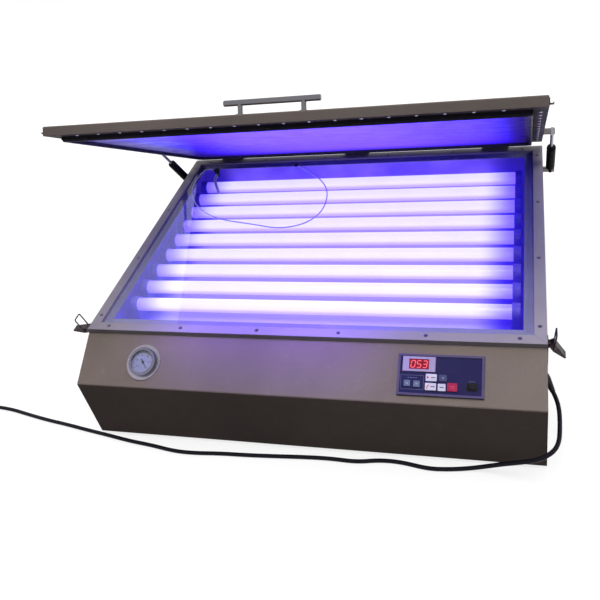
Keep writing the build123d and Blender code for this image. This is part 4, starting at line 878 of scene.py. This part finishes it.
@dataclass
class MainsLead:
    """The supply cord: its moulded boot, the run along the front, the coil of spare length and the plug."""

    radius: float = 4.5
    length: float = 2.84
    boot_root: Point = (500.0, 64.0, -161.0)
    boot_way: Point = (0.36, -0.92, -0.15)
    boot_length: float = 36.0
    boot_lead: float = 20.0
    boot_radius: float = 8.5
    boot_wall: float = 1.0
    boot_sunk: float = 4.0
    boot_plain: float = 5.0
    boot_tip: float = 3.0
    tip_flat: float = 2.0
    tip_bevel: float = 0.4
    boot_ribs: int = 6
    boot_sides: int = 28
    groove: tuple[Flat, ...] = ((0.0, 0.0), (0.52, 0.25), (0.58, 1.5), (0.92, 1.6))
    collar: tuple[Flat, ...] = ((0.0, 12.0), (2.2, 12.0), (3.0, 11.2), (3.0, 8.6))
    collar_sides: int = 36
    floor: float = -235.5
    coil_x: float = -905.0
    coil_y: float = -113.0
    coil_radius: float = 58.0
    coil_spacing: float = 9.6
    half_turns_in: int = 4
    half_turns_out: int = 3
    half_turn_points: int = 7
    plug_lead: float = 42.0
    raised_run: tuple[Point, ...] = (
        (524.0, -12.0, -171.0), (524.5, -40.0, -171.5), (523.5, -67.0, -171.0), (521.5, -91.0, -170.0),
        (514.5, -111.0, -169.5), (500.5, -125.5, -171.5), (480.0, -133.0, -178.0), (449.0, -131.0, -192.0),
        (416.0, -125.5, -209.0), (385.0, -122.5, -224.5),
    )
    floor_run: tuple[Flat, ...] = (
        (350.0, -123.0), (313.0, -129.0), (270.0, -132.0), (213.0, -121.0), (167.0, -121.0),
        (121.0, -130.0), (62.0, -127.0), (5.0, -129.0), (-58.0, -133.0), (-122.0, -136.5),
        (-186.0, -138.0), (-250.0, -143.0), (-300.0, -142.0), (-358.0, -132.0), (-420.0, -125.0),
        (-482.0, -114.0), (-545.0, -104.0), (-607.0, -93.0), (-669.0, -84.0), (-731.0, -72.0),
        (-790.0, -59.5), (-850.0, -55.0), (-896.0, -55.0),
    )

    def coil(self) -> list[Vector]:
        """Lays the coil: in on the floor, up one layer in a half turn, and out again to the plug.

        Returns:
            The coil's route points.
        """
        points: list[Vector] = []
        y, z = self.coil_y + self.coil_radius, self.floor
        radius, side = self.coil_radius, 1
        fullness = 1 / math.cos(math.pi / 2 / self.half_turn_points)
        for i in range(self.half_turns_in + 1 + self.half_turns_out):
            rise = self.coil_spacing if i == self.half_turns_in else 0.0
            middle, reach = y - radius * side, radius * fullness
            for k in range(self.half_turn_points):
                turn = math.pi * (k + 0.5) / self.half_turn_points
                x = self.coil_x - side * reach * math.sin(turn)
                height = z + rise * (k + 0.5) / self.half_turn_points
                points.append(UNIT.deck(x, middle + side * reach * math.cos(turn), height))
            y -= 2 * radius * side
            z += rise
            side = -side
            step = self.coil_spacing / 2
            radius += -step if i < self.half_turns_in else step
        points.append(UNIT.deck(self.coil_x - self.plug_lead / 2, y, z))
        points.append(UNIT.deck(self.coil_x - self.plug_lead, y, z))
        return points

    def boot(self) -> bpy.types.Object:
        """Makes the tapered strain relief, with its collar and bending grooves.

        Returns:
            The boot.
        """
        root = UNIT.deck(*self.boot_root)
        way = Vector(self.boot_way).normalized()
        solid = Solid()
        slim = self.radius + self.boot_wall
        ribbed = self.boot_length - self.boot_plain - self.boot_tip
        stations: list[Flat] = [(-self.boot_sunk, self.boot_radius), (self.boot_sunk, self.boot_radius)]
        for i in range(self.boot_ribs):
            share = i / self.boot_ribs
            radius = self.boot_radius + (slim - self.boot_radius) * share
            start, step = self.boot_plain + ribbed * share, ribbed / self.boot_ribs
            stations += [(start + along * step, radius - depth) for along, depth in self.groove]
        stations += [(self.boot_length - self.tip_flat, slim), (self.boot_length, slim - self.tip_bevel)]
        across = way.orthogonal().normalized()
        up = way.cross(across)
        rings = []
        for along, radius in stations:
            ring = []
            for x, y in circle(radius / 1000, self.boot_sides):
                point = root + way * along / 1000 + across * x + up * y
                point.x = max(point.x, root.x)
                ring.append(point)
            rings.append(ring)
        solid.rings(rings)
        collar = []
        for out, radius in self.collar:
            rim = circle(radius / 1000, self.collar_sides)
            collar.append([root + Vector((out / 1000, x, y)) for x, y in rim])
        solid.rings(collar)
        piece = solid.piece("strain_relief_boot", RUBBER_BOOT, "cabinet", 0.5)
        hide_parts("cord_gland")
        return piece

    def build(self) -> None:
        boot = self.boot()
        way = Vector(self.boot_way).normalized()
        tip = UNIT.deck(*self.boot_root) + way * self.boot_length / 1000
        route = [tip, tip + way * self.boot_lead / 1000]
        route += [UNIT.deck(*place) for place in self.raised_run]
        route += [UNIT.deck(x, y, self.floor) for x, y in self.floor_run]
        route += self.coil()
        nodes = ("mains_cord", "cord_coil")
        cord = Cord("mains_lead", route, self.radius / 1000, MAINS_SHEATH, nodes).build()


@dataclass
class VacuumLines:
    """The thin bleed cord that lies on the glass, and the hose from the port to the pump."""

    port: Flat = (-416.0, 680.0)
    radius: float = 1.5
    length: float = 0.92
    bleed_run: tuple[Flat, ...] = (
        (-9.0, 2.0), (-24.5, 7.0), (-38.0, 0.0), (-44.0, -24.0), (-45.0, -66.0),
        (-39.0, -105.0), (-25.0, -138.0), (-7.0, -168.0), (16.0, -196.0), (45.0, -221.0),
        (80.0, -243.0), (123.0, -259.0), (173.0, -270.0), (224.0, -283.0), (256.0, -292.0),
        (289.0, -294.0), (332.0, -281.0), (361.0, -253.0), (375.0, -212.0), (374.0, -159.0),
        (363.0, -117.0), (340.0, -77.0), (309.0, -43.0), (278.0, -16.0), (252.0, 6.0),
    )
    hose_radius: float = 4.0
    hose_length: float = 0.185
    hose_run: tuple[Point, ...] = (
        (0.0, -5.5, -20.5), (0.0, -27.5, -20.5), (7.0, -43.0, -27.5), (14.0, -55.0, -45.5),
        (16.0, -57.0, -72.5), (16.0, -59.0, -105.5), (16.0, -80.0, -137.5), (16.0, -80.0, -163.5),
    )

    def build(self) -> None:
        """Makes both lines."""
        port_x, port_y = self.port
        route = [UNIT.deck(port_x + x, port_y + y, UNIT.glass_top + self.radius) for x, y in self.bleed_run]
        bleed = Cord("bleed_line", route, self.radius / 1000, BLEED_SHEATH, ("bleed_cord",)).build()
        route = [UNIT.deck(port_x + x, port_y + y, z) for x, y, z in self.hose_run]
        hose = Cord("pump_hose", route, self.hose_radius / 1000, HOSE_SHEATH, ("vacuum_hose",)).build()


# ---- Lid ----------------------------------------------------------------------------------------------


@dataclass
class VacuumBlanket:
    """The rubber sheet under the lid and the sealing bead round it, in lid measures.

    The bead's section gives each corner's inset from the bead's outside, its level, and the radius of the
    loop's corners there. Each wave gives its share of the ripple, its turns across and back, and its start.
    """

    half_x: float = 468.0
    half_y: float = 336.0
    thickness: float = 2.0
    sag: float = 0.5
    columns: int = 78
    rows: int = 56
    ripple: float = 0.35
    waves: tuple[tuple[float, float, float, float], ...] = (
        (1.0, 5.3, 1.9, 0.4), (0.7, -3.7, 9.1, 0.0), (0.4, 13.0, 7.0, 0.0),
    )
    bead_half_x: float = 473.0
    bead_half_y: float = 341.0
    bead_section: tuple[Point, ...] = (
        (0.0, -3.5, 6.0), (0.0, -6.0, 6.0), (1.2, -7.1, 8.0), (4.0, -7.5, 12.0),
        (6.8, -7.1, 18.0), (8.0, -6.0, 22.0), (8.0, -2.6, 24.0), (8.8, -1.0, 25.0),
        (10.6, -0.15, 27.0), (13.5, -0.05, 30.0), (5.2, -0.05, 10.0), (5.2, -3.5, 10.0),
    )

    def level(self, x: float, y: float) -> float:
        """Finds how high the sheet's middle is at a place on it.

        Args:
            x: Across from the blanket's middle.
            y: Back from the blanket's middle.

        Returns:
            The height.
        """
        u, v = x / self.half_x, y / self.half_y
        held = (1 - u * u) * (1 - v * v)
        wave = sum(share * math.sin(a * u + b * v + start) for share, a, b, start in self.waves)
        return self.thickness / 2 - held * self.sag + self.ripple * wave * min(1.0, 3 * held) / 2

    def sheet(self) -> bpy.types.Object:
        """Makes the rubber sheet.

        Returns:
            The sheet.
        """
        lower, upper = [], []
        for j in range(self.rows + 1):
            for i in range(self.columns + 1):
                x = self.half_x * (2 * i / self.columns - 1)
                y = self.half_y * (2 * j / self.rows - 1)
                level, half = self.level(x, y), self.thickness / 2
                lower.append(UNIT.lid(x, UNIT.blanket_y + y, level - half))
                upper.append(UNIT.lid(x, UNIT.blanket_y + y, level + half))
        width, count = self.columns + 1, len(lower)
        faces: list[tuple[int, ...]] = []
        for j in range(self.rows):
            for i in range(self.columns):
                a = j * width + i
                faces.append((a, a + width, a + width + 1, a + 1))
                faces.append((count + a, count + a + 1, count + a + width + 1, count + a + width))
        border = list(range(width))
        border += [j * width + self.columns for j in range(1, self.rows + 1)]
        border += [self.rows * width + i for i in reversed(range(self.columns))]
        border += [j * width for j in reversed(range(1, self.rows))]
        for a, b in zip(border, border[1:] + border[:1]):
            faces.append((a, b, count + b, count + a))
        return make_piece("blanket_sheet", lower + upper, faces, BLANKET_PAINTED_LIGHT, "lid")

    def bead(self) -> bpy.types.Object:
        """Makes the sealing bead and the skirt that joins it to the sheet.

        Returns:
            The bead.
        """
        solid = Solid()
        rings = []
        for inset, level, corner in self.bead_section:
            loop = rounded_loop(self.bead_half_x - inset, self.bead_half_y - inset, corner)
            rings.append([UNIT.lid(x, UNIT.blanket_y + y, level) for x, y in loop])
        solid.rings(rings, closed=True)
        return solid.piece("blanket_seal", BEAD_RUBBER, "lid", 0.9)

    def build(self) -> None:
        sheet, bead = self.sheet(), self.bead()
        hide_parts("vacuum_blanket")


@dataclass
class ScrewRow:
    """Cross-head screws of one kind."""

    name: str
    stands_for: str
    body: str
    radius: float
    dome: float
    places: list[Flat]
    placing: Placing
    seat: float
    out: int
    finish: Finish
    rings: tuple[float, ...] = (1.0, 0.94, 0.84, 0.7, 0.56, 0.44, 0.32, 0.2, 0.1)
    spokes: int = 32
    rim: float = 0.35
    cross_reach: float = 0.62
    cross_depth: float = 0.62
    cross_half_width: float = 0.13
    dome_power: float = 2.6
    cross_power: float = 0.4
    turn_step: float = 0.9

    def height(self, x: float, y: float, share: float) -> float:
        """Shapes a head: a dome with the driver's cross sunk into it.

        Args:
            x: Across from the head's middle, as a share of its radius.
            y: Back from the middle, likewise.
            share: How far the place is from the middle, likewise.

        Returns:
            The height over the seat, as a share of the dome.
        """
        crown = self.rim + (1 - self.rim) * math.sqrt(max(0.0, 1 - share**self.dome_power))
        if min(abs(x), abs(y)) >= self.cross_half_width or share >= self.cross_reach:
            return crown
        return crown - self.cross_depth * (1 - share / self.cross_reach) ** self.cross_power

    def build(self) -> None:
        """Makes the screws as one piece."""
        solid = Solid()
        for number, (px, py) in enumerate(self.places):
            turn = self.turn_step * number
            loops = []
            for share in (1.0, *self.rings):
                loop = []
                for i in range(self.spokes):
                    a = 2 * math.pi * i / self.spokes
                    x, y = share * math.cos(a), share * math.sin(a)
                    top = 0.0 if not loops else self.height(x, y, share) * self.dome
                    reach = self.radius * share
                    x, y = px + reach * math.cos(a + turn), py + reach * math.sin(a + turn)
                    loop.append(self.placing(x, y, self.seat + self.out * top))
                loops.append(loop)
            solid.rings(loops)
        piece = solid.piece(self.name, self.finish, self.body, 0.7)
        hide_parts(self.stands_for)


def spread(first: float, last: float, count: int) -> list[float]:
    """Evenly spaced places."""
    return [first + (last - first) * i / (count - 1) for i in range(count)]


def around(across: list[float], deep: list[float], side: float, front: float, back: float) -> list[Flat]:
    """Places along a rectangle's front and back, then down its sides."""
    rows = [(x, y) for x in across for y in (front, back)]
    return rows + [(x, y) for x in (-side, side) for y in deep]


@dataclass(frozen=True)
class ScrewPlaces:
    """Where the deck's screws and the blanket's clamp screws stand."""

    deck_inset: float = 13.0
    deck_end_x: float = 50.0
    deck_end_y: float = 48.0
    deck_across: int = 6
    deck_deep: int = 4
    clamp_half_x: float = 486.0
    clamp_half_y: float = 354.0
    clamp_pitch: float = 50.0
    clamps_across: int = 18
    clamps_deep: int = 13

    def deck(self) -> list[Flat]:
        """Places the deck's screws.

        Returns:
            Their places in deck measures.
        """
        inset, end = self.deck_inset, UNIT.half_width - self.deck_end_x
        across = spread(-end, end, self.deck_across)
        deep = spread(self.deck_end_y, UNIT.deck_depth - self.deck_end_y, self.deck_deep)
        return around(across, deep, UNIT.half_width - inset, inset, UNIT.deck_depth - inset)

    def clamps(self) -> list[Flat]:
        """Places the clamp screws on the blanket's frame.

        Returns:
            Their places in lid measures.
        """
        middle, half_y = UNIT.blanket_y, self.clamp_half_y
        half_row = self.clamp_pitch * (self.clamps_across - 1) / 2
        half_column = self.clamp_pitch * (self.clamps_deep - 1) / 2
        across = spread(-half_row, half_row, self.clamps_across)
        deep = spread(middle - half_column, middle + half_column, self.clamps_deep)
        return around(across, deep, self.clamp_half_x, middle - half_y, middle + half_y)


def build_screws() -> None:
    """Makes the deck's screws and the blanket's clamp screws."""
    places = ScrewPlaces()
    ScrewRow(
        name="deck_screw_heads",
        stands_for="deck_screws",
        body="cabinet",
        radius=4.0,
        dome=1.2,
        places=places.deck(),
        placing=UNIT.deck,
        seat=0.0,
        out=1,
        finish=DECK_SCREW_STEEL,
    ).build()
    ScrewRow(
        name="clamp_screw_heads",
        stands_for="clamp_screws",
        body="lid",
        radius=3.2,
        dome=1.8,
        places=places.clamps(),
        placing=UNIT.lid,
        seat=4.0,
        out=-1,
        finish=SCREW_STEEL,
    ).build()


# ---- Console ------------------------------------------------------------------------------------------


@dataclass
class TimerPanel:
    """Everything printed or lit on the timer panel."""

    digits: str = "053"
    display: Flat = (260.0, -41.5)
    window: Flat = (39.0, 20.5)
    digit_height: float = 13.5
    digit_width: float = 7.6
    digit_pitch: float = 11.6
    stroke: float = 1.7
    segment_gap: float = 0.22
    lean: float = 0.13
    window_gap: float = 0.15
    window_corner: float = 0.8
    window_floor: float = 3.5
    filter_levels: Flat = (0.02, 0.3)
    digit_level: float = 0.5
    face: float = 2.5
    ink: float = 0.12
    time_box: tuple[float, float, float, float] = (247.95, -77.9, 44.9, 27.8)
    box_line: float = 0.45
    dash_rows: tuple[Point, ...] = ((247.9, -68.8, 20.0), (362.3, -71.6, 12.0))
    dashes: int = 4
    dash_gap: float = 1.2
    dash_line: float = 1.0
    key_top: float = 4.7
    mark_sink: float = 0.01
    arrow_size: float = 2.6
    arrow_back: float = 0.6
    arrow_tip: float = 0.8

    def segments(self) -> dict[str, list[Flat]]:
        """Draws the seven segments about a digit's middle.

        Returns:
            Each segment's outline by its letter.
        """
        w, h, t, gap = self.digit_width / 2, self.digit_height / 2, self.stroke / 2, self.segment_gap

        def bar(at: float, low: float, high: float) -> list[Flat]:
            """Draws a level bar, pointed at both ends.

            Args:
                at: Its height.
                low: Its left end.
                high: Its right end.

            Returns:
                Its outline.
            """
            tips, ends = (low + gap, high - gap), (low + t + gap, high - t - gap)
            upper, lower = [(x, at + t) for x in ends], [(x, at - t) for x in reversed(ends)]
            return [(tips[0], at), *upper, (tips[1], at), *lower]

        def upright(at: float, low: float, high: float) -> list[Flat]:
            """The same bar, standing."""
            return [(x, y) for y, x in bar(at, low, high)]

        return {
            "a": bar(h, -w, w),
            "g": bar(0.0, -w, w),
            "d": bar(-h, -w, w),
            "f": upright(-w, 0.0, h),
            "b": upright(w, 0.0, h),
            "e": upright(-w, -h, 0.0),
            "c": upright(w, -h, 0.0),
        }

    def build_display(self) -> None:
        """The filter window and its seven-segment digits."""
        lit_by_digit = {"0": "abcdef", "5": "afgcd", "3": "abgcd"}
        back, lit, unlit = Solid(), Solid(), Solid()
        half_x, half_y = (side / 2 - self.window_gap for side in self.window)
        loop = rounded_loop(half_x, half_y, self.window_corner)
        outline = [(self.display[0] + x, self.display[1] + y) for x, y in loop]
        low, high = (self.window_floor + level for level in self.filter_levels)
        back.prism(outline, low, high, on_console)
        for place, digit in enumerate(self.digits):
            middle = self.display[0] + (place - 1) * self.digit_pitch
            for name, outline in self.segments().items():
                target = lit if name in lit_by_digit[digit] else unlit
                shape = [(middle + x + self.lean * y, self.display[1] + y) for x, y in outline]
                target.prism(shape, high, self.window_floor + self.digit_level, on_console)
        back.piece("display_window", FILTER_PAINTED_GLOW, "cabinet")
        lit.piece("display_digits_lit", LIT, "cabinet")
        unlit.piece("display_digits_unlit", UNLIT_PAINTED_GLOW, "cabinet")

    def stamp(self, solid: Solid, shape: list[Flat]) -> None:
        """Adds a shape printed on the panel's face."""
        solid.prism(shape, self.face, self.face + self.ink, on_console)

    def build_print(self) -> None:
        """The box drawn round the time keys, and the dashes that stand in for words."""
        ink = Solid()
        x, y, width, height = self.time_box
        for end in (-1, 1):
            self.stamp(ink, rectangle(x, y + end * height / 2, width, self.box_line))
            self.stamp(ink, rectangle(x + end * width / 2, y, self.box_line, height))
        for x, y, width in self.dash_rows:
            pitch = width / self.dashes
            for i in range(self.dashes):
                middle = x + (i - (self.dashes - 1) / 2) * pitch
                self.stamp(ink, rectangle(middle, y, pitch - self.dash_gap, self.dash_line))
        ink.piece("panel_print", PALE_INK, "cabinet")

    def arrow(self, x: float, y: float, up: int) -> list[Flat]:
        """An arrowhead's outline."""
        size, back = self.arrow_size, y - up * self.arrow_size * self.arrow_back
        return [(x - size, back), (x + size, back), (x, y + up * size * self.arrow_tip)]

    def build_marks(self) -> None:
        """The signs printed on the keys; each rides on its key."""
        top = self.key_top

        def mark(name: str, key: str, shapes: list[list[Flat]], finish: Finish) -> None:
            """Makes one sign and lets it ride on its key.

            Args:
                name: The sign's name.
                key: The key's body.
                shapes: The sign's outlines.
                finish: Its ink.
            """
            solid = Solid()
            for shape in shapes:
                solid.prism(shape, top - self.mark_sink, top + self.ink, on_console)
            solid.piece(name, finish, key)

        mark("mark_time_up", "key_time_up", [self.arrow(238.4, -80.4, 1)], WHITE_INK)
        mark("mark_time_down", "key_time_down", [self.arrow(257.0, -81.0, -1)], WHITE_INK)
        play = [(276.6, -70.4), (276.6, -64.6), (281.2, -67.5)]
        mark("mark_start", "key_start", [play], RED_INK)
        mark("mark_start_bar", "key_start", [rectangle(288.8, -67.5, 8.4, 1.6)], DARK_INK)
        slash = [(275.4, -89.2), (277.4, -89.2), (281.4, -81.6), (279.4, -81.6)]
        mark("mark_stop", "key_stop", [slash], RED_INK)
        mark("mark_stop_bar", "key_stop", [rectangle(288.4, -85.4, 8.4, 1.6)], DARK_INK)
        mark("mark_vacuum", "key_vacuum", [rectangle(305.6, -86.0, 8.0, 1.6)], DARK_INK)
        mark("mark_light", "key_light", [circle(2.2, 20, (307.5, -67.5))], PALE_INK)
        bars = [rectangle(325.6, -82.9, 8.0, 1.2), rectangle(325.6, -86.3, 8.0, 1.2)]
        mark("mark_reset", "key_reset", bars, PINK_INK)

    def build(self) -> None:
        """Makes the panel's lit and printed pieces."""
        self.build_display()
        self.build_print()
        self.build_marks()


@dataclass
class GaugePrint:
    """The scale printed on the vacuum gauge's dial, and the needle over it."""

    middle: Flat = (-345.0, -63.5)
    zero: float = -52.0
    sweep: float = 270.0
    steps: int = 50
    steps_to_major: int = 5
    major: Flat = (20.0, 0.9)
    minor: Flat = (22.0, 0.45)
    outer: float = 24.5
    ring_outer: float = 25.0
    ring_parts: int = 90
    dial: float = 3.0
    needle: float = 3.8
    needle_half: float = 0.35
    needle_shape: tuple[Flat, ...] = (
        (-8.0, 1.5), (-7.0, 1.9), (-3.0, 1.0), (0.0, 1.3), (6.0, 0.9), (20.2, 0.45), (21.0, 0.15),
    )
    hub: tuple[Flat, ...] = ((3.2, -0.45), (3.2, 0.3), (2.8, 0.62), (1.2, 0.7))
    hub_sides: int = 28
    ink: float = 0.1
    number_radius: float = 15.6
    number_size: float = 5.6
    numbers: tuple[str, ...] = ("0", "20", "40", "60", "80", "100")

    def place(self, along: float, degrees: float, out: float = 0.0) -> Flat:
        """Finds a place on the dial.

        Args:
            along: How far from the middle.
            degrees: In which direction.
            out: How far to that direction's left.

        Returns:
            The place in console measures.
        """
        turn = math.radians(degrees)
        ahead, side = math.cos(turn), math.sin(turn)
        return (self.middle[0] + along * ahead - out * side, self.middle[1] + along * side + out * ahead)

    def tick(self, degrees: float, inner: float, width: float) -> list[Flat]:
        """One scale line's outline."""
        corners = ((inner, -1), (self.outer, -1), (self.outer, 1), (inner, 1))
        return [self.place(along, degrees, end * width / 2) for along, end in corners]

    def build_scale(self) -> None:
        """The ticks and the ring line."""
        shapes = []
        for i in range(self.steps + 1):
            inner, width = self.minor if i % self.steps_to_major else self.major
            shapes.append(self.tick(self.zero + self.sweep * i / self.steps, inner, width))
        for i in range(self.ring_parts):
            a, b = (self.zero + self.sweep * (i + k) / self.ring_parts for k in (0, 1))
            ring = ((self.outer, a), (self.outer, b), (self.ring_outer, b), (self.ring_outer, a))
            shapes.append([self.place(radius, degrees) for radius, degrees in ring])
        solid = Solid()
        for shape in shapes:
            solid.prism(shape, self.dial, self.dial + self.ink, on_console)
        solid.piece("dial_scale", DARK_INK, "cabinet")

    def build_numbers(self) -> None:
        """The scale's numbers."""
        across = (on_console(1, 0, 0) - on_console(0, 0, 0)).normalized()
        up = (on_console(0, 1, 0) - on_console(0, 0, 0)).normalized()
        turn = Matrix((across, up, across.cross(up))).transposed().to_4x4()
        for i, text in enumerate(self.numbers):
            letters = bpy.data.curves.new(f"dial_number_{text}", "FONT")
            letters.body = text
            letters.size = self.number_size / 1000
            letters.align_x = letters.align_y = "CENTER"
            letters.extrude = self.ink / 2000
            x, y = self.place(self.number_radius, self.zero + self.sweep * i / (len(self.numbers) - 1))
            source = add_object("number_outline", letters)
            bpy.context.view_layer.update()
            shaped = source.evaluated_get(bpy.context.evaluated_depsgraph_get())
            mesh = bpy.data.meshes.new_from_object(shaped)
            mesh.transform(Matrix.Translation(on_console(x, y, self.dial + self.ink / 2)) @ turn)
            mesh.materials.clear()
            mesh.materials.append(DARK_INK.material())
            bpy.data.objects.remove(source)
            piece = add_object(f"dial_number_{text}", mesh)
            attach(piece, "cabinet")
            log.info("%s on cabinet", piece.name)

    def build_needle(self) -> None:
        """The needle with its hub and counterweight; it turns with the gauge's own needle."""
        edge = [(along, out) for along, out in self.needle_shape]
        edge += [(along, -out) for along, out in reversed(self.needle_shape)]
        outline = [self.place(along, self.zero, out) for along, out in edge]
        solid = Solid()
        solid.prism(outline, self.needle - self.needle_half, self.needle + self.needle_half, on_console)
        rings = []
        for radius, height in self.hub:
            rim = circle(radius, self.hub_sides, self.middle)
            rings.append([on_console(x, y, self.needle + height) for x, y in rim])
        solid.rings(rings)
        piece = solid.piece("dial_needle", BLACK, "gauge_needle")
        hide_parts("gauge_needle")

    def build(self) -> None:
        """Makes the dial's print and its needle."""
        self.build_scale()
        self.build_numbers()
        self.build_needle()


# ---- Studio -------------------------------------------------------------------------------------------


@dataclass(frozen=True)
class Lamp:
    """A soft square studio lamp that faces a point, in metres and watts."""

    name: str
    at: Point
    aim: Point
    size: float
    power: float
    colour: Colour = (1.0, 0.99, 0.98)

    def build(self) -> bpy.types.Object:
        """Makes the lamp.

        Returns:
            The lamp.
        """
        data = bpy.data.lights.new(self.name, "AREA")
        data.size = self.size
        data.energy = self.power
        data.color = self.colour
        light = add_object(self.name, data)
        light.location = self.at
        light.rotation_euler = (Vector(self.aim) - Vector(self.at)).to_track_quat("-Z", "Y").to_euler()
        light.visible_camera = False
        light.visible_glossy = False
        return light


SOFT_LAMPS = (
    Lamp("overhead", (0.1, -0.25, 3.1), (0.0, 0.0, 0.2), 2.4, 108.0),
    Lamp("left_fill", (-2.6, 0.5, 1.2), (0.0, 0.1, 0.2), 1.2, 42.0),
    Lamp("right_fill", (2.6, 0.5, 1.2), (0.0, 0.1, 0.2), 1.2, 42.0),
    Lamp("rear_fill", (0.6, 3.0, 1.6), (0.0, 0.1, 0.3), 1.8, 60.0, (0.97, 0.98, 1.0)),
)
SPILL_LAMP = Lamp("violet_spill", (-0.06, -0.265, 0.58), (-0.06, -0.285, 0.2), 0.45, 0.9, (0.16, 0.03, 1.0))


@dataclass
class Studio:
    """The pale floor, the soft light and the camera."""

    camera_at: Point = (0.4744, -1.34837, 1.26906)
    yaw: float = 0.37785
    pitch: float = 0.63931
    roll: float = -0.23269
    focal_pixels: float = 726.934
    centre: Flat = (303.396, 258.083)
    frame_pixels: float = 600.0
    sensor: float = 36.0
    floor_half: float = 9.0
    floor_dim: Colour = (0.05, 0.04, 0.05)
    floor_pale: Colour = (0.22, 0.22, 0.225)
    floor_reach: Flat = (1.0, 6.0)
    floor_glow: Flat = (0.80, 0.99)
    background: Colour = (1.0, 1.0, 1.0)
    fill: float = 0.12
    spill_depth: float = 0.10
    spill_spread: float = 52.0

    def build_camera(self) -> None:
        """The camera at the photo's angle."""
        sin, cos = math.sin, math.cos
        ahead = Vector((-sin(self.yaw) * cos(self.pitch), cos(self.yaw) * cos(self.pitch), -sin(self.pitch)))
        level = Vector((cos(self.yaw), sin(self.yaw), 0.0))
        upward = level.cross(ahead)
        right = level * cos(self.roll) + upward * sin(self.roll)
        up = upward * cos(self.roll) - level * sin(self.roll)
        data = bpy.data.cameras.new("camera")
        data.sensor_width = self.sensor
        data.lens = self.focal_pixels / self.frame_pixels * self.sensor
        data.shift_x = (self.frame_pixels / 2 - self.centre[0]) / self.frame_pixels
        data.shift_y = (self.centre[1] - self.frame_pixels / 2) / self.frame_pixels
        data.clip_start = 0.05
        data.clip_end = 60.0
        camera = add_object("camera", data)
        turn = Matrix((right, up, -ahead)).transposed().to_4x4()
        camera.matrix_world = Matrix.Translation(self.camera_at) @ turn
        bpy.context.scene.camera = camera

    def build_floor(self) -> None:
        """The floor: pale to the eye, dimmer as a source of bounced light."""
        material = bpy.data.materials.new("studio floor")
        graph = Graph(material)
        graph.tree.nodes.remove(graph.shader)
        dim, pale = (
            graph.add("ShaderNodeBsdfDiffuse", {"Color": colour}).outputs[0]
            for colour in (self.floor_dim, self.floor_pale)
        )
        away = graph.add("ShaderNodeVectorMath", {0: graph.place}, operation="LENGTH").outputs["Value"]
        strength = graph.span(away, *self.floor_reach, *self.floor_glow, "LINEAR")
        glow = graph.add("ShaderNodeEmission", {"Strength": strength}).outputs[0]
        bright = graph.add("ShaderNodeAddShader", {0: pale, 1: glow}).outputs[0]
        graph.show(graph.seen(), dim, bright)
        half = self.floor_half
        mesh = bpy.data.meshes.new("studio_floor")
        corners = [(-half, -half, 0), (half, -half, 0), (half, half, 0), (-half, half, 0)]
        mesh.from_pydata(corners, [], [(0, 1, 2, 3)])
        mesh.materials.append(material)
        floor = add_object("studio_floor", mesh)

    def build_world(self) -> None:
        """The world: white to the eye, a soft grey fill to the object."""
        world = bpy.data.worlds.new("studio")
        graph = Graph(world)
        inputs = graph.tree.nodes["Background"].inputs
        graph.feed(inputs["Color"], self.background)
        graph.feed(inputs["Strength"], graph.span(graph.seen(), 0.0, 1.0, self.fill, 1.0, "LINEAR"))
        bpy.context.scene.world = world

    def keep_off_lid(self, light: bpy.types.Object) -> None:
        """Keeps a lamp's light off the lid's outside, so that the shut lid shows no coloured patch.

        Args:
            light: The lamp.
        """
        kept_off = bpy.data.collections.new("kept_off_lid")
        for name in ("lid_shell", "lid_handle"):
            kept_off.objects.link(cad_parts[name])
        for link in kept_off.collection_objects:
            link.light_linking.link_state = "EXCLUDE"
        light.light_linking.receiver_collection = kept_off

    def build(self) -> None:
        """Makes the studio."""
        bpy.context.scene.view_settings.view_transform = "Standard"
        self.build_camera()
        self.build_floor()
        self.build_world()
        for lamp in SOFT_LAMPS:
            lamp.build()
        spill = SPILL_LAMP.build()
        spill.data.shape = "RECTANGLE"
        spill.data.size_y = self.spill_depth
        spill.data.spread = math.radians(self.spill_spread)
        self.keep_off_lid(spill)


def main() -> None:
    """Builds the studio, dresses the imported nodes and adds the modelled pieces."""
    logging.basicConfig(level=logging.INFO, format="%(name)s: %(message)s")
    Studio().build()
    MainsLead().build()
    VacuumLines().build()
    VacuumBlanket().build()
    build_screws()
    TimerPanel().build()
    GaugePrint().build()
    dress_nodes()


if __name__ == "__main__":
    main()
